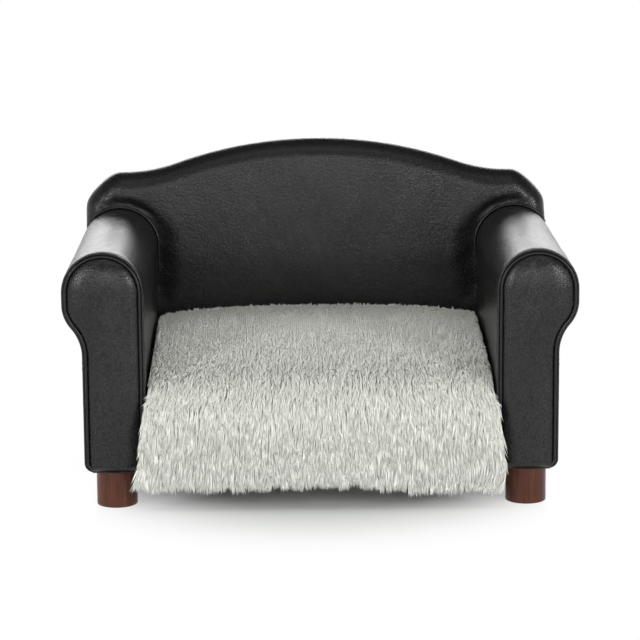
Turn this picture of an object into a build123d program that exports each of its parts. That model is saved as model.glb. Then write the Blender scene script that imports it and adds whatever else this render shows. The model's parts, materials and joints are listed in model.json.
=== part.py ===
# Small upholstered pet sofa: camel back, rolled arms, round legs and a loose seat
# cushion whose shag cover hangs over the front. X runs across the sofa, +Y to its
# rear, +Z up. The origin is on the floor under the middle of the whole sofa.
import os
from math import acos, cos, hypot, pi, radians, sin, sqrt

from build123d import *

os.makedirs("parts", exist_ok=True)

# Overall sizes in millimetres
overall_width = 640.0
overall_depth = 460.0
overall_height = 412.0
back_rise = 88.0
leg_height = 45.0
arm_thickness = 77.5
back_thickness = 68.0
apron_reach = 18.0

# Sheet, foam and board thicknesses, and the clearance between layers
leather = 1.2
dust_thickness = 0.8
wrap_foam = 9.0
side_board = 3.0
board = 12.0
base_board = 18.0
gap = 0.3
overrun = 20.0

# Arm seen from the front: a roll over a straight side, joined by a neck
roll_overhang = 24.0
roll_flank = 15.0
roll_under_radius = 45.0
neck_radius = 55.0
base_corner_radius = 12.0
least_radius = 0.5

# Padded front panel of an arm and its piping
facing_depth = 8.0
facing_round = 6.0
piping_radius = 2.6
turn_under = 14.0

# Camel back seen from the front
back_inset = 4.0
back_overhang = 21.0
shoulder_drop = 45.0
shoulder_radius = 46.0
saddle_radius = 207.0
crown_drop = 66.68
face_round = 24.0
back_edge_foam = 12.0
back_side_foam = 8.0
back_edge_margin = 1.0
welt_radius = 2.0
welt_length = 60.0
welt_end_angle = 40.0

# Wooden rails and posts
rail_thickness = 18.0
seat_rail_height = 50.0
deck_thickness = 9.0
seat_setback = 6.0
seat_side_gap = 0.6
seat_turn_under = 20.0
top_rail_width = 40.0
top_rail_height = 18.0
post_width = 46.0
post_drop = 24.0
window_margin = 1.0

# Legs and their hardware
leg_radius = 25.5
leg_setback = 31.0
leg_rear_setback = 34.0
leg_edge = 2.0
bolt_radius = 4.0
bolt_depth = 33.0
bolt_rise = 4.0
bolt_point = 1.0
nut_radius = 5.4
nut_wall_gap = 0.2
nut_depth = 9.0
nut_flange_radius = 9.5
nut_flange = 1.5
dust_margin = 10.0

# Wood screws
screw_radius = 2.0
screw_head_radius = 4.0
screw_head_height = 2.4
screw_tip = 3.0
screw_spread = 13.0
short_screw = 40.0
long_screw = 58.0
screw_gap = 0.15

# Loose cushion: crowned foam core under a deep-pile cover
cushion_side_gap = 1.5
cushion_rear_gap = 7.0
cushion_edge_height = 48.0
cushion_crown = 33.0
side_pile = 5.0
rear_pile = 6.0
top_pile = 18.0
front_pile = 27.0
base_cloth = 0.8
drawn_in = 3.5
corner_radius = 14.0
core_corner_radius = 10.0

# Front of the shag cover, hanging past the arm fronts
apron_gap = 1.0
hem_height = 24.0
apron_top_spread = 4.0
apron_hem_spread = 15.0
fold_depth = 1.5
hem_wave = 2.0
waterfall_height = 38.0
waterfall_depth = 32.0

# Zip along the rear of the cushion
zip_margin = 67.0
zip_end = 15.0
zip_height = 24.0
zip_tape = 1.0
zip_rise = 24.0
tooth_pitch = 5.0
tooth_width = 2.6
tooth_height = 5.0
tooth_depth = 1.2
slider_length = 13.0
slider_height = 10.0
slider_wall = 1.1
pull_length = 18.0
pull_width = 6.0

# Shapes given as shares of the sizes that they follow
crown_rear_share = 0.98
crown_front_share = 0.16
crown_edge_share = 0.62
crown_power = 3.0
crown_peak_share = 0.42
round_shares = (0.0, 0.25, 0.5, 0.75, 1.0)
station_shares = (-1.0, -0.8333, -0.6667, -0.5, -0.3333, -0.1667, 0.0,
                  0.1667, 0.3333, 0.5, 0.6667, 0.8333, 1.0)
side_screw_shares = (0.25, 0.5, 0.75)
rear_screw_shares = (-0.55, 0.0, 0.55)
post_screw_shares = (0.2, 0.55, 0.9)
deck_screw_shares = (-0.85, 0.0, 0.85)
half_turn_share = 0.7071

# Planes across the sofa, front to rear
front_y = -overall_depth / 2
rear_y = overall_depth / 2
arm_front_y = front_y + apron_reach
back_face_y = rear_y - back_thickness
seam_y = arm_front_y + facing_depth
front_board_y = seam_y + board
rear_board_y = back_face_y - board
panel_rear_y = rear_y - leather - gap
panel_front_y = panel_rear_y - board
seat_front_y = arm_front_y + seat_setback
apron_back_y = arm_front_y - apron_gap
front_leg_y = arm_front_y + leg_setback
rear_leg_y = rear_y - leg_rear_setback

# Levels from the floor up
arm_height = overall_height - back_rise
post_top = arm_height - post_drop
base_z = leg_height + dust_thickness
frame_z = base_z + leather
base_board_top = frame_z + base_board
seat_rail_top = frame_z + seat_rail_height
deck_top = seat_rail_top + deck_thickness
platform_top = deck_top + leather
cushion_z = platform_top + gap
core_z = cushion_z + base_cloth
edge_z = cushion_z + cushion_edge_height
screw_z = frame_z + base_board / 2

# Places across the arms
arm_outer_x = overall_width / 2
arm_side_x = arm_outer_x - roll_overhang
arm_inner_x = arm_side_x - arm_thickness
arm_middle_x = (arm_inner_x + arm_side_x) / 2
roll_radius = (arm_outer_x - arm_inner_x) / 2
roll_x = arm_inner_x + roll_radius
roll_z = arm_height - roll_radius
flank_z = roll_z - roll_flank
back_outer_x = arm_outer_x - back_inset
back_side_x = back_outer_x - back_overhang
shoulder_z = overall_height - shoulder_drop - shoulder_radius
shoulder_x = back_outer_x - shoulder_radius
crown_radius = (shoulder_x**2 + crown_drop**2) / (2 * crown_drop)
crown_z = overall_height - crown_radius
wrap_inset = leather + gap
former_inset = wrap_inset + wrap_foam + gap
board_inset = former_inset + side_board + gap
seat_box_x = arm_inner_x - seat_side_gap
facing_inset = 2 * piping_radius + gap

# Places on the cushion
cushion_x = arm_inner_x - cushion_side_gap
cushion_rear_y = back_face_y - cushion_rear_gap
core_x = cushion_x - side_pile - gap
core_front_y = front_y + front_pile + gap
core_rear_y = cushion_rear_y - rear_pile - gap
apron_top_x = arm_inner_x + apron_top_spread
apron_hem_x = arm_inner_x + apron_hem_spread
zip_length = 2 * (cushion_x - zip_margin)
zip_travel = zip_length - 2 * zip_end

sides = (("left", -1), ("right", 1))


def across(y):
    # Upright plane facing the front, at this distance along the sofa
    return Plane.XZ.offset(-y)


def write(piece, name):
    piece.part.label = name
    export_step(piece.part, f"parts/{name}.step")


def flank_points(outer_x, overhang, inset):
    # Points down an outer side: foot of the flank, underside, waist, neck, side
    reach = roll_under_radius + neck_radius
    sweep_angle = acos((reach - overhang) / reach)
    under = roll_under_radius - inset
    neck = neck_radius + inset
    under_x = outer_x - roll_under_radius
    neck_x = outer_x - overhang + neck_radius
    neck_z = flank_z - reach * sin(sweep_angle)
    half = sweep_angle / 2
    top = (outer_x - inset, flank_z)
    under_middle = (under_x + under * cos(half), flank_z - under * sin(half))
    waist = (under_x + under * cos(sweep_angle), flank_z - under * sin(sweep_angle))
    neck_middle = (neck_x - neck * cos(half), neck_z + neck * sin(half))
    foot = (outer_x - overhang - inset, neck_z)
    return top, under_middle, waist, neck_middle, foot


def arm_outline(side, inset, bottom, closed=True):
    # Outline of one arm, this far inside the face of its leather
    top, under_middle, waist, neck_middle, foot = flank_points(arm_outer_x, roll_overhang, inset)
    inner = arm_inner_x + inset
    corner = max(base_corner_radius - inset, least_radius)
    corner_in = corner * (1 - half_turn_share)

    def at(x, z):
        return (side * x, z)

    Line(at(inner, bottom), at(inner, roll_z))
    ThreePointArc(at(inner, roll_z), at(roll_x, arm_height - inset), at(top[0], roll_z))
    Line(at(top[0], roll_z), at(*top))
    ThreePointArc(at(*top), at(*under_middle), at(*waist))
    ThreePointArc(at(*waist), at(*neck_middle), at(*foot))
    Line(at(*foot), at(foot[0], bottom + corner))
    if closed:
        ThreePointArc(
            at(foot[0], bottom + corner),
            at(foot[0] - corner_in, bottom + corner_in),
            at(foot[0] - corner, bottom),
        )
        Line(at(foot[0] - corner, bottom), at(inner, bottom))


def arc_middle(center, radius, first, last):
    # Point of a circle half way between two of its points
    x = first[0] + last[0] - 2 * center[0]
    z = first[1] + last[1] - 2 * center[1]
    size = hypot(x, z)
    return (center[0] + radius * x / size, center[1] + radius * z / size)


def back_outline(top_inset, side_inset, bottom):
    # Outline of the camel back: crown, saddles, shoulders and sides, all tangent
    top, under_middle, waist, neck_middle, foot = flank_points(back_outer_x, back_overhang, side_inset)
    shoulder = shoulder_radius - top_inset
    saddle = saddle_radius + top_inset
    crown = crown_radius - top_inset
    turn_x = back_outer_x - side_inset - shoulder
    rise = shoulder_z - crown_z
    span = hypot(turn_x, rise)
    crown_reach = crown + saddle
    shoulder_reach = shoulder + saddle
    along = (crown_reach**2 - shoulder_reach**2 + span**2) / (2 * span)
    off = sqrt(crown_reach**2 - along**2)
    saddle_x = (along * turn_x - off * rise) / span
    saddle_z = crown_z + (along * rise + off * turn_x) / span
    crown_end = (
        crown * saddle_x / crown_reach,
        crown_z + crown * (saddle_z - crown_z) / crown_reach,
    )
    shoulder_end = (
        turn_x + shoulder * (saddle_x - turn_x) / shoulder_reach,
        shoulder_z + shoulder * (saddle_z - shoulder_z) / shoulder_reach,
    )
    side_top = (top[0], shoulder_z)
    saddle_middle = arc_middle((saddle_x, saddle_z), saddle, crown_end, shoulder_end)
    shoulder_middle = arc_middle((turn_x, shoulder_z), shoulder, shoulder_end, side_top)
    for side in (-1, 1):
        def at(point):
            return (side * point[0], point[1])

        ThreePointArc(at(crown_end), at(saddle_middle), at(shoulder_end))
        ThreePointArc(at(shoulder_end), at(shoulder_middle), at(side_top))
        Line(at(side_top), at(top))
        ThreePointArc(at(top), at(under_middle), at(waist))
        ThreePointArc(at(waist), at(neck_middle), at(foot))
        Line(at(foot), at((foot[0], bottom)))
    ThreePointArc(
        (-crown_end[0], crown_end[1]),
        (0, overall_height - top_inset),
        crown_end,
    )
    Line((-foot[0], bottom), (foot[0], bottom))


def back_form(inset, bottom, rear):
    # Padded back with its rolled top edge, this far inside the face of its leather
    with BuildPart() as form:
        for share in round_shares:
            turn = share * pi / 2
            y = back_face_y + face_round - (face_round - inset) * cos(turn)
            top_inset = face_round - (face_round - inset) * sin(turn)
            with BuildSketch(across(y)):
                with BuildLine():
                    back_outline(top_inset, inset, bottom)
                make_face()
        loft()
        with BuildSketch(across(back_face_y + face_round)):
            with BuildLine():
                back_outline(inset, inset, bottom)
            make_face()
        extrude(amount=back_face_y + face_round - rear)
    return form.part


def plan_outline(half_width, front, rear):
    # Cushion seen from above: straight front and rear, sides drawn in between
    middle = (front + rear) / 2
    ThreePointArc((-half_width, front), (drawn_in - half_width, middle), (-half_width, rear))
    Line((-half_width, rear), (half_width, rear))
    ThreePointArc((half_width, rear), (half_width - drawn_in, middle), (half_width, front))
    Line((half_width, front), (-half_width, front))


def crowned_form(half_width, front, rear, bottom, edge, crown, corner):
    # Cushion shape: crowned top, rounded front and rear top edges, drawn-in sides
    with BuildPart() as form:
        for share in station_shares:
            x = share * (half_width + overrun)
            spread = min(abs(x) / half_width, 1)
            rise = crown * (1 - (1 - crown_edge_share) * spread**crown_power)
            peak_y = rear + (front - rear) * crown_peak_share
            rear_z = edge + rise * crown_rear_share
            front_z = edge + rise * crown_front_share
            bend = corner * (1 - half_turn_share)
            with BuildSketch(Plane.YZ.offset(x)):
                with BuildLine():
                    Line((rear, bottom), (rear, rear_z - corner))
                    ThreePointArc(
                        (rear, rear_z - corner),
                        (rear - bend, rear_z - bend),
                        (rear - corner, rear_z),
                    )
                    ThreePointArc(
                        (rear - corner, rear_z),
                        (peak_y, edge + rise),
                        (front + corner, front_z),
                    )
                    ThreePointArc(
                        (front + corner, front_z),
                        (front + bend, front_z - bend),
                        (front, front_z - corner),
                    )
                    Line((front, front_z - corner), (front, bottom))
                    Line((front, bottom), (rear, bottom))
                make_face()
        loft()
        with BuildSketch(Plane.XY.offset(bottom)):
            with BuildLine():
                plan_outline(half_width, front, rear)
            make_face()
        extrude(amount=edge + crown, mode=Mode.INTERSECT)
    return form.part


def facing_form(side, inset, floor):
    # Padded front panel of an arm, this far inside the face of its leather
    with BuildPart() as form:
        with BuildSketch(across(arm_front_y + inset)):
            with BuildLine():
                arm_outline(side, facing_inset + inset, floor)
            make_face()
        extrude(amount=inset - facing_depth)
        fillet(form.faces().sort_by(Axis.Y)[0].edges(), facing_round - inset)
    return form.part


def seats(heads, aim):
    # Planes at the heads of a row of screws, facing back along the way they point
    return [Plane(origin=head, z_dir=(-aim[0], -aim[1], -aim[2])) for head in heads]


def bore(planes, length):
    # Clearance for a row of screws in the piece being made
    with Locations(*planes):
        Cylinder(
            screw_radius + screw_gap,
            length + screw_gap,
            align=(Align.CENTER, Align.CENTER, Align.MAX),
            mode=Mode.SUBTRACT,
        )
        Cone(
            screw_radius + screw_gap,
            screw_head_radius + screw_gap,
            screw_head_height + screw_gap,
            align=(Align.CENTER, Align.CENTER, Align.MAX),
            mode=Mode.SUBTRACT,
        )


def block(low, high, mode=Mode.ADD):
    # Box between two corners
    with Locations(low):
        Box(
            high[0] - low[0],
            high[1] - low[1],
            high[2] - low[2],
            align=(Align.MIN, Align.MIN, Align.MIN),
            mode=mode,
        )


def upright_bores(radius, bottom, height, places):
    # Upright holes for the leg hardware in the piece being made
    with Locations(*[(x, y, bottom) for x, y in places]):
        Cylinder(
            radius,
            height,
            align=(Align.CENTER, Align.CENTER, Align.MIN),
            mode=Mode.SUBTRACT,
        )


# Rows of screws: planes at their heads, with the pieces that they pass through
neck_z = flank_points(arm_outer_x, roll_overhang, 0)[4][1]
side_span = rear_board_y - front_board_y
post_span = post_top - base_board_top
front_frame_screws = {}
rear_frame_screws = {}
post_screws = {}
seat_side_screws = {}
panel_screws = {}
for name, side in sides:
    frame_places = [
        (side * arm_middle_x - screw_spread, screw_z),
        (side * arm_middle_x + screw_spread, screw_z),
        (side * roll_x, roll_z),
    ]
    front_frame_screws[name] = seats([(x, seam_y, z) for x, z in frame_places], (0, 1, 0))
    rear_frame_screws[name] = seats([(x, back_face_y, z) for x, z in frame_places], (0, -1, 0))
    post_screws[name] = seats(
        [
            (side * arm_middle_x, rear_board_y, base_board_top + share * post_span)
            for share in post_screw_shares[:2]
        ],
        (0, 1, 0),
    )
    seat_side_screws[name] = seats(
        [
            (side * (seat_box_x - rail_thickness), front_board_y + share * side_span, screw_z)
            for share in side_screw_shares
        ],
        (side, 0, 0),
    )
    panel_screws[name] = seats(
        [
            (side * arm_middle_x, panel_rear_y, base_board_top + share * post_span)
            for share in post_screw_shares
        ],
        (0, -1, 0),
    )
seat_rear_screws = seats(
    [(share * seat_box_x, back_face_y - rail_thickness, screw_z) for share in rear_screw_shares],
    (0, 1, 0),
)
panel_rail_screws = seats(
    [(share * seat_box_x, panel_rear_y, screw_z) for share in rear_screw_shares], (0, -1, 0)
)
front_rail_y = seat_front_y + leather + gap
deck_front_screws = seats(
    [(share * seat_box_x, front_rail_y + rail_thickness / 2, deck_top) for share in deck_screw_shares],
    (0, 0, -1),
)
deck_rear_screws = seats(
    [(share * seat_box_x, back_face_y - rail_thickness / 2, deck_top) for share in deck_screw_shares],
    (0, 0, -1),
)
leg_places = {
    f"{row}_{name}": (side * arm_middle_x, y)
    for row, y in (("front", front_leg_y), ("rear", rear_leg_y))
    for name, side in sides
}

# Legs: short round posts with an eased lower edge and a bore for the bolt
for place, (x, y) in leg_places.items():
    with BuildPart() as leg:
        with BuildSketch(Plane.XY):
            with Locations((x, y)):
                Circle(leg_radius)
        extrude(amount=leg_height)
        fillet(leg.faces().sort_by(Axis.Z)[0].edges(), leg_edge)
        upright_bores(
            bolt_radius + nut_wall_gap, leg_height - bolt_depth, bolt_depth + overrun, [(x, y)]
        )
    write(leg, f"leg_{place}")

# Hanger bolts, from the legs up through the base boards
bolt_bottom = leg_height - bolt_depth + gap
bolt_top = base_board_top + bolt_rise
with BuildPart() as hanger_bolts:
    with Locations(*[(x, y, bolt_bottom) for x, y in leg_places.values()]):
        Cylinder(
            bolt_radius,
            bolt_top - bolt_bottom,
            align=(Align.CENTER, Align.CENTER, Align.MIN),
        )
    chamfer(hanger_bolts.edges(), bolt_point)
write(hanger_bolts, "hanger_bolts")

# T-nuts, flanges on the base boards and barrels down in them
with BuildPart() as t_nuts:
    with Locations(*[(x, y, base_board_top - nut_depth) for x, y in leg_places.values()]):
        Cylinder(nut_radius, nut_depth, align=(Align.CENTER, Align.CENTER, Align.MIN))
    with Locations(*[(x, y, base_board_top) for x, y in leg_places.values()]):
        Cylinder(
            nut_flange_radius, nut_flange, align=(Align.CENTER, Align.CENTER, Align.MIN)
        )
    upright_bores(
        bolt_radius + nut_wall_gap,
        base_board_top - nut_depth - gap,
        nut_depth + nut_flange + overrun,
        leg_places.values(),
    )
write(t_nuts, "t_nuts")

# Arm pieces, the same on both sides
for name, side in sides:
    front_leg = leg_places[f"front_{name}"]
    rear_leg = leg_places[f"rear_{name}"]

    with BuildPart() as arm_front_board:
        with BuildSketch(across(seam_y)):
            with BuildLine():
                arm_outline(side, board_inset, frame_z)
            make_face()
        extrude(amount=-board)
        bore(front_frame_screws[name], short_screw)
    write(arm_front_board, f"arm_front_board_{name}")

    with BuildPart() as arm_rear_board:
        with BuildSketch(across(rear_board_y)):
            with BuildLine():
                arm_outline(side, board_inset, frame_z)
            make_face()
        extrude(amount=-board)
        bore(rear_frame_screws[name], short_screw)
        bore(post_screws[name], short_screw)
    write(arm_rear_board, f"arm_rear_board_{name}")

    with BuildPart() as arm_base_board:
        x_low, x_high = sorted(
            (side * (arm_inner_x + board_inset), side * (arm_side_x - board_inset))
        )
        block((x_low, front_board_y, frame_z), (x_high, rear_board_y, base_board_top))
        bore(front_frame_screws[name], short_screw)
        bore(rear_frame_screws[name], short_screw)
        bore(seat_side_screws[name], long_screw)
        upright_bores(nut_radius + nut_wall_gap, frame_z, base_board, [front_leg])
    write(arm_base_board, f"arm_base_board_{name}")

    with BuildPart() as arm_top_rail:
        block(
            (
                side * roll_x - top_rail_width / 2,
                front_board_y,
                roll_z - top_rail_height / 2,
            ),
            (
                side * roll_x + top_rail_width / 2,
                rear_board_y,
                roll_z + top_rail_height / 2,
            ),
        )
        bore(front_frame_screws[name], short_screw)
        bore(rear_frame_screws[name], short_screw)
    write(arm_top_rail, f"arm_top_rail_{name}")

    inner_split = roll_z - roll_flank
    with BuildPart() as arm_inner_board:
        x_low, x_high = sorted(
            (
                side * (arm_inner_x + former_inset),
                side * (arm_inner_x + former_inset + side_board),
            )
        )
        block((x_low, seam_y, frame_z), (x_high, back_face_y, inner_split))
        bore(seat_side_screws[name], long_screw)
    write(arm_inner_board, f"arm_inner_board_{name}")

    with BuildPart() as arm_outer_board:
        x_low, x_high = sorted(
            (
                side * (arm_side_x - former_inset - side_board),
                side * (arm_side_x - former_inset),
            )
        )
        block((x_low, seam_y, frame_z), (x_high, back_face_y, neck_z))
    write(arm_outer_board, f"arm_outer_board_{name}")

    with BuildPart() as arm_roll_former:
        with BuildSketch(across(seam_y)):
            with BuildLine():
                arm_outline(side, former_inset, base_z)
            make_face()
            with BuildLine():
                arm_outline(side, former_inset + side_board, base_z - overrun)
            make_face(mode=Mode.SUBTRACT)
            with Locations((side * arm_inner_x, base_z - overrun)):
                Rectangle(
                    2 * roll_radius,
                    inner_split - base_z + overrun,
                    align=(Align.CENTER, Align.MIN),
                    mode=Mode.SUBTRACT,
                )
            with Locations((side * arm_outer_x, base_z - overrun)):
                Rectangle(
                    2 * roll_radius,
                    neck_z - base_z + overrun,
                    align=(Align.CENTER, Align.MIN),
                    mode=Mode.SUBTRACT,
                )
        extrude(amount=seam_y - back_face_y)
    write(arm_roll_former, f"arm_roll_former_{name}")

    with BuildPart() as arm_padding:
        with BuildSketch(across(seam_y)):
            with BuildLine():
                arm_outline(side, wrap_inset, frame_z)
            make_face()
            with BuildLine():
                arm_outline(side, wrap_inset + wrap_foam, frame_z - overrun)
            make_face(mode=Mode.SUBTRACT)
        extrude(amount=seam_y - back_face_y)
        bore(seat_side_screws[name], long_screw)
    write(arm_padding, f"arm_padding_{name}")

    with BuildPart() as arm_cover:
        with BuildSketch(across(seam_y)):
            with BuildLine():
                arm_outline(side, 0, base_z)
            make_face()
            with BuildLine():
                arm_outline(side, leather, base_z + leather)
            make_face(mode=Mode.SUBTRACT)
        extrude(amount=seam_y - back_face_y)
        x_low, x_high = sorted(
            (side * (arm_inner_x + turn_under), side * (arm_side_x - turn_under))
        )
        block(
            (x_low, seam_y - overrun, base_z - overrun),
            (x_high, back_face_y + overrun, base_z + leather + gap),
            mode=Mode.SUBTRACT,
        )
        bore(seat_side_screws[name], long_screw)
    write(arm_cover, f"arm_cover_{name}")

    with BuildPart() as arm_front_cover:
        add(facing_form(side, 0, base_z))
        add(facing_form(side, leather, base_z + leather), mode=Mode.SUBTRACT)
    write(arm_front_cover, f"arm_front_cover_{name}")

    with BuildPart() as arm_front_padding:
        add(facing_form(side, wrap_inset, frame_z + gap))
        bore(front_frame_screws[name], short_screw)
    write(arm_front_padding, f"arm_front_padding_{name}")

    with BuildPart() as arm_piping:
        with BuildLine(across(seam_y - piping_radius)) as piping_path:
            arm_outline(side, piping_radius, base_z, closed=False)
        with BuildSketch(Plane(piping_path.line @ 0, z_dir=piping_path.line % 0)):
            Circle(piping_radius)
        sweep()
    write(arm_piping, f"arm_piping_{name}")

    # Welt in the corner where the arm roll meets the back
    with BuildPart() as back_welt:
        with BuildLine(across(back_face_y - welt_radius - gap)) as welt_path:
            reach = roll_radius + welt_radius + gap
            low = radians(welt_end_angle)
            high = (pi + low) / 2
            Line((side * (roll_x - reach), roll_z - welt_length), (side * (roll_x - reach), roll_z))
            ThreePointArc(
                (side * (roll_x - reach), roll_z),
                (side * (roll_x + reach * cos(high)), roll_z + reach * sin(high)),
                (side * (roll_x + reach * cos(low)), roll_z + reach * sin(low)),
            )
        with BuildSketch(Plane(welt_path.line @ 0, z_dir=welt_path.line % 0)):
            Circle(welt_radius)
        sweep()
    write(back_welt, f"back_welt_{name}")

    with BuildPart() as back_post:
        block(
            (side * arm_middle_x - post_width / 2, back_face_y, base_board_top),
            (side * arm_middle_x + post_width / 2, panel_front_y, post_top),
        )
        bore(post_screws[name], short_screw)
        bore(panel_screws[name], short_screw)
        upright_bores(
            nut_flange_radius + gap, base_board_top, bolt_top - base_board_top + gap, [rear_leg]
        )
    write(back_post, f"back_post_{name}")

    with BuildPart() as seat_side_rail:
        x_low, x_high = sorted((side * (seat_box_x - rail_thickness), side * seat_box_x))
        block(
            (x_low, front_rail_y + rail_thickness, frame_z),
            (x_high, back_face_y - rail_thickness, seat_rail_top),
        )
        bore(seat_side_screws[name], long_screw)
    write(seat_side_rail, f"seat_side_rail_{name}")

# Seat box between the arms
with BuildPart() as seat_front_rail:
    block(
        (-seat_box_x, front_rail_y, frame_z),
        (seat_box_x, front_rail_y + rail_thickness, seat_rail_top),
    )
    bore(deck_front_screws, short_screw)
write(seat_front_rail, "seat_front_rail")

with BuildPart() as seat_rear_rail:
    block(
        (-seat_box_x, back_face_y - rail_thickness, frame_z),
        (seat_box_x, back_face_y, seat_rail_top),
    )
    bore(deck_rear_screws, short_screw)
    bore(seat_rear_screws, short_screw)
write(seat_rear_rail, "seat_rear_rail")

with BuildPart() as seat_deck:
    block(
        (-seat_box_x, front_rail_y, seat_rail_top),
        (seat_box_x, back_face_y, deck_top),
    )
    bore(deck_front_screws, short_screw)
    bore(deck_rear_screws, short_screw)
write(seat_deck, "seat_deck")

# Leather over the deck and the front rail, turned under at the bottom
with BuildPart() as platform_cover:
    block((-seat_box_x, seat_front_y, base_z), (seat_box_x, back_face_y, platform_top))
    block(
        (-seat_box_x - overrun, front_rail_y - gap, frame_z),
        (seat_box_x + overrun, back_face_y + overrun, deck_top),
        mode=Mode.SUBTRACT,
    )
    block(
        (-seat_box_x - overrun, seat_front_y + seat_turn_under, base_z - overrun),
        (seat_box_x + overrun, back_face_y + overrun, frame_z + overrun),
        mode=Mode.SUBTRACT,
    )
write(platform_cover, "platform_cover")

# Back frame, foam and covers
with BuildPart() as back_bottom_rail:
    block(
        (-back_side_x + wrap_inset, back_face_y + wrap_inset, frame_z),
        (back_side_x - wrap_inset, panel_front_y, base_board_top),
    )
    bore(seat_rear_screws, short_screw)
    bore(panel_rail_screws, short_screw)
    rear_legs = [leg_places[f"rear_{name}"] for name, side in sides]
    upright_bores(nut_radius + nut_wall_gap, frame_z, base_board, rear_legs)
write(back_bottom_rail, "back_bottom_rail")

edge_inset = wrap_inset + back_edge_foam + gap
side_inset = wrap_inset + back_side_foam + gap
with BuildPart() as back_panel:
    with BuildSketch(across(panel_front_y)):
        with BuildLine():
            back_outline(edge_inset, side_inset, frame_z)
        make_face()
    extrude(amount=-board)
    for name, side in sides:
        bore(panel_screws[name], short_screw)
    bore(panel_rail_screws, short_screw)
write(back_panel, "back_panel")

foam_blank = back_form(wrap_inset, base_board_top + gap, panel_rear_y)
with BuildPart() as back_padding:
    add(foam_blank)
    with BuildSketch(across(panel_front_y)):
        with BuildLine():
            back_outline(edge_inset - gap, side_inset - gap, frame_z)
        make_face()
    extrude(amount=-board - overrun, mode=Mode.SUBTRACT)
    for name, side in sides:
        block(
            (side * arm_middle_x - post_width / 2 - gap, back_face_y - overrun, frame_z),
            (side * arm_middle_x + post_width / 2 + gap, rear_y, post_top + gap),
            mode=Mode.SUBTRACT,
        )
write(back_padding, "back_padding")

cover_blank = back_form(0, base_z, rear_y - leather)
cover_hollow = back_form(leather, base_z - overrun, rear_y)
with BuildPart() as inside_back_cover:
    add(cover_blank)
    add(cover_hollow, mode=Mode.SUBTRACT)
    for name, side in sides:
        block(
            (
                side * arm_middle_x - post_width / 2 - window_margin,
                back_face_y - overrun,
                base_board_top - window_margin,
            ),
            (
                side * arm_middle_x + post_width / 2 + window_margin,
                back_face_y + face_round,
                post_top + window_margin,
            ),
            mode=Mode.SUBTRACT,
        )
    bore(seat_rear_screws, short_screw)
write(inside_back_cover, "inside_back_cover")

with BuildPart() as outside_back_cover:
    with BuildSketch(across(rear_y - leather)):
        with BuildLine():
            back_outline(back_edge_margin, back_edge_margin, base_z)
        make_face()
    extrude(amount=-leather)
write(outside_back_cover, "outside_back_cover")

# Cloth under the frame, between the legs and the boards
with BuildPart() as dust_cover:
    block(
        (-arm_side_x + dust_margin, seam_y, leg_height),
        (arm_side_x - dust_margin, rear_y - dust_margin, base_z),
    )
    upright_bores(
        bolt_radius + nut_wall_gap, leg_height - overrun, 2 * overrun, leg_places.values()
    )
write(dust_cover, "dust_cover")

# Every wood screw of the frame
short_rows = [deck_front_screws, deck_rear_screws, seat_rear_screws, panel_rail_screws]
long_rows = []
for name, side in sides:
    short_rows += [front_frame_screws[name], rear_frame_screws[name]]
    short_rows += [post_screws[name], panel_screws[name]]
    long_rows += [seat_side_screws[name]]
screw_lengths = [(planes, short_screw) for planes in short_rows]
screw_lengths += [(planes, long_screw) for planes in long_rows]
with BuildPart() as frame_screws:
    for planes, length in screw_lengths:
        with Locations(*planes):
            Cylinder(
                screw_radius,
                length - screw_tip,
                align=(Align.CENTER, Align.CENTER, Align.MAX),
            )
            Cone(
                screw_radius,
                screw_head_radius,
                screw_head_height,
                align=(Align.CENTER, Align.CENTER, Align.MAX),
            )
write(frame_screws, "frame_screws")

# Loose cushion: foam core, base cloth and zip
core_form = crowned_form(
    core_x, core_front_y, core_rear_y, core_z, edge_z - top_pile, cushion_crown, core_corner_radius
)
with BuildPart() as cushion_core:
    add(core_form)
write(cushion_core, "cushion_core")

with BuildPart() as cushion_base:
    with BuildSketch(Plane.XY.offset(cushion_z)):
        with BuildLine():
            plan_outline(core_x, core_front_y, core_rear_y)
        make_face()
    extrude(amount=base_cloth)
write(cushion_base, "cushion_base")

# Room for the foam core and its base cloth inside the shag cover
core_room = crowned_form(
    core_x + gap,
    core_front_y - gap,
    core_rear_y + gap,
    cushion_z - overrun,
    edge_z - top_pile + gap,
    cushion_crown,
    core_corner_radius,
)

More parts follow.
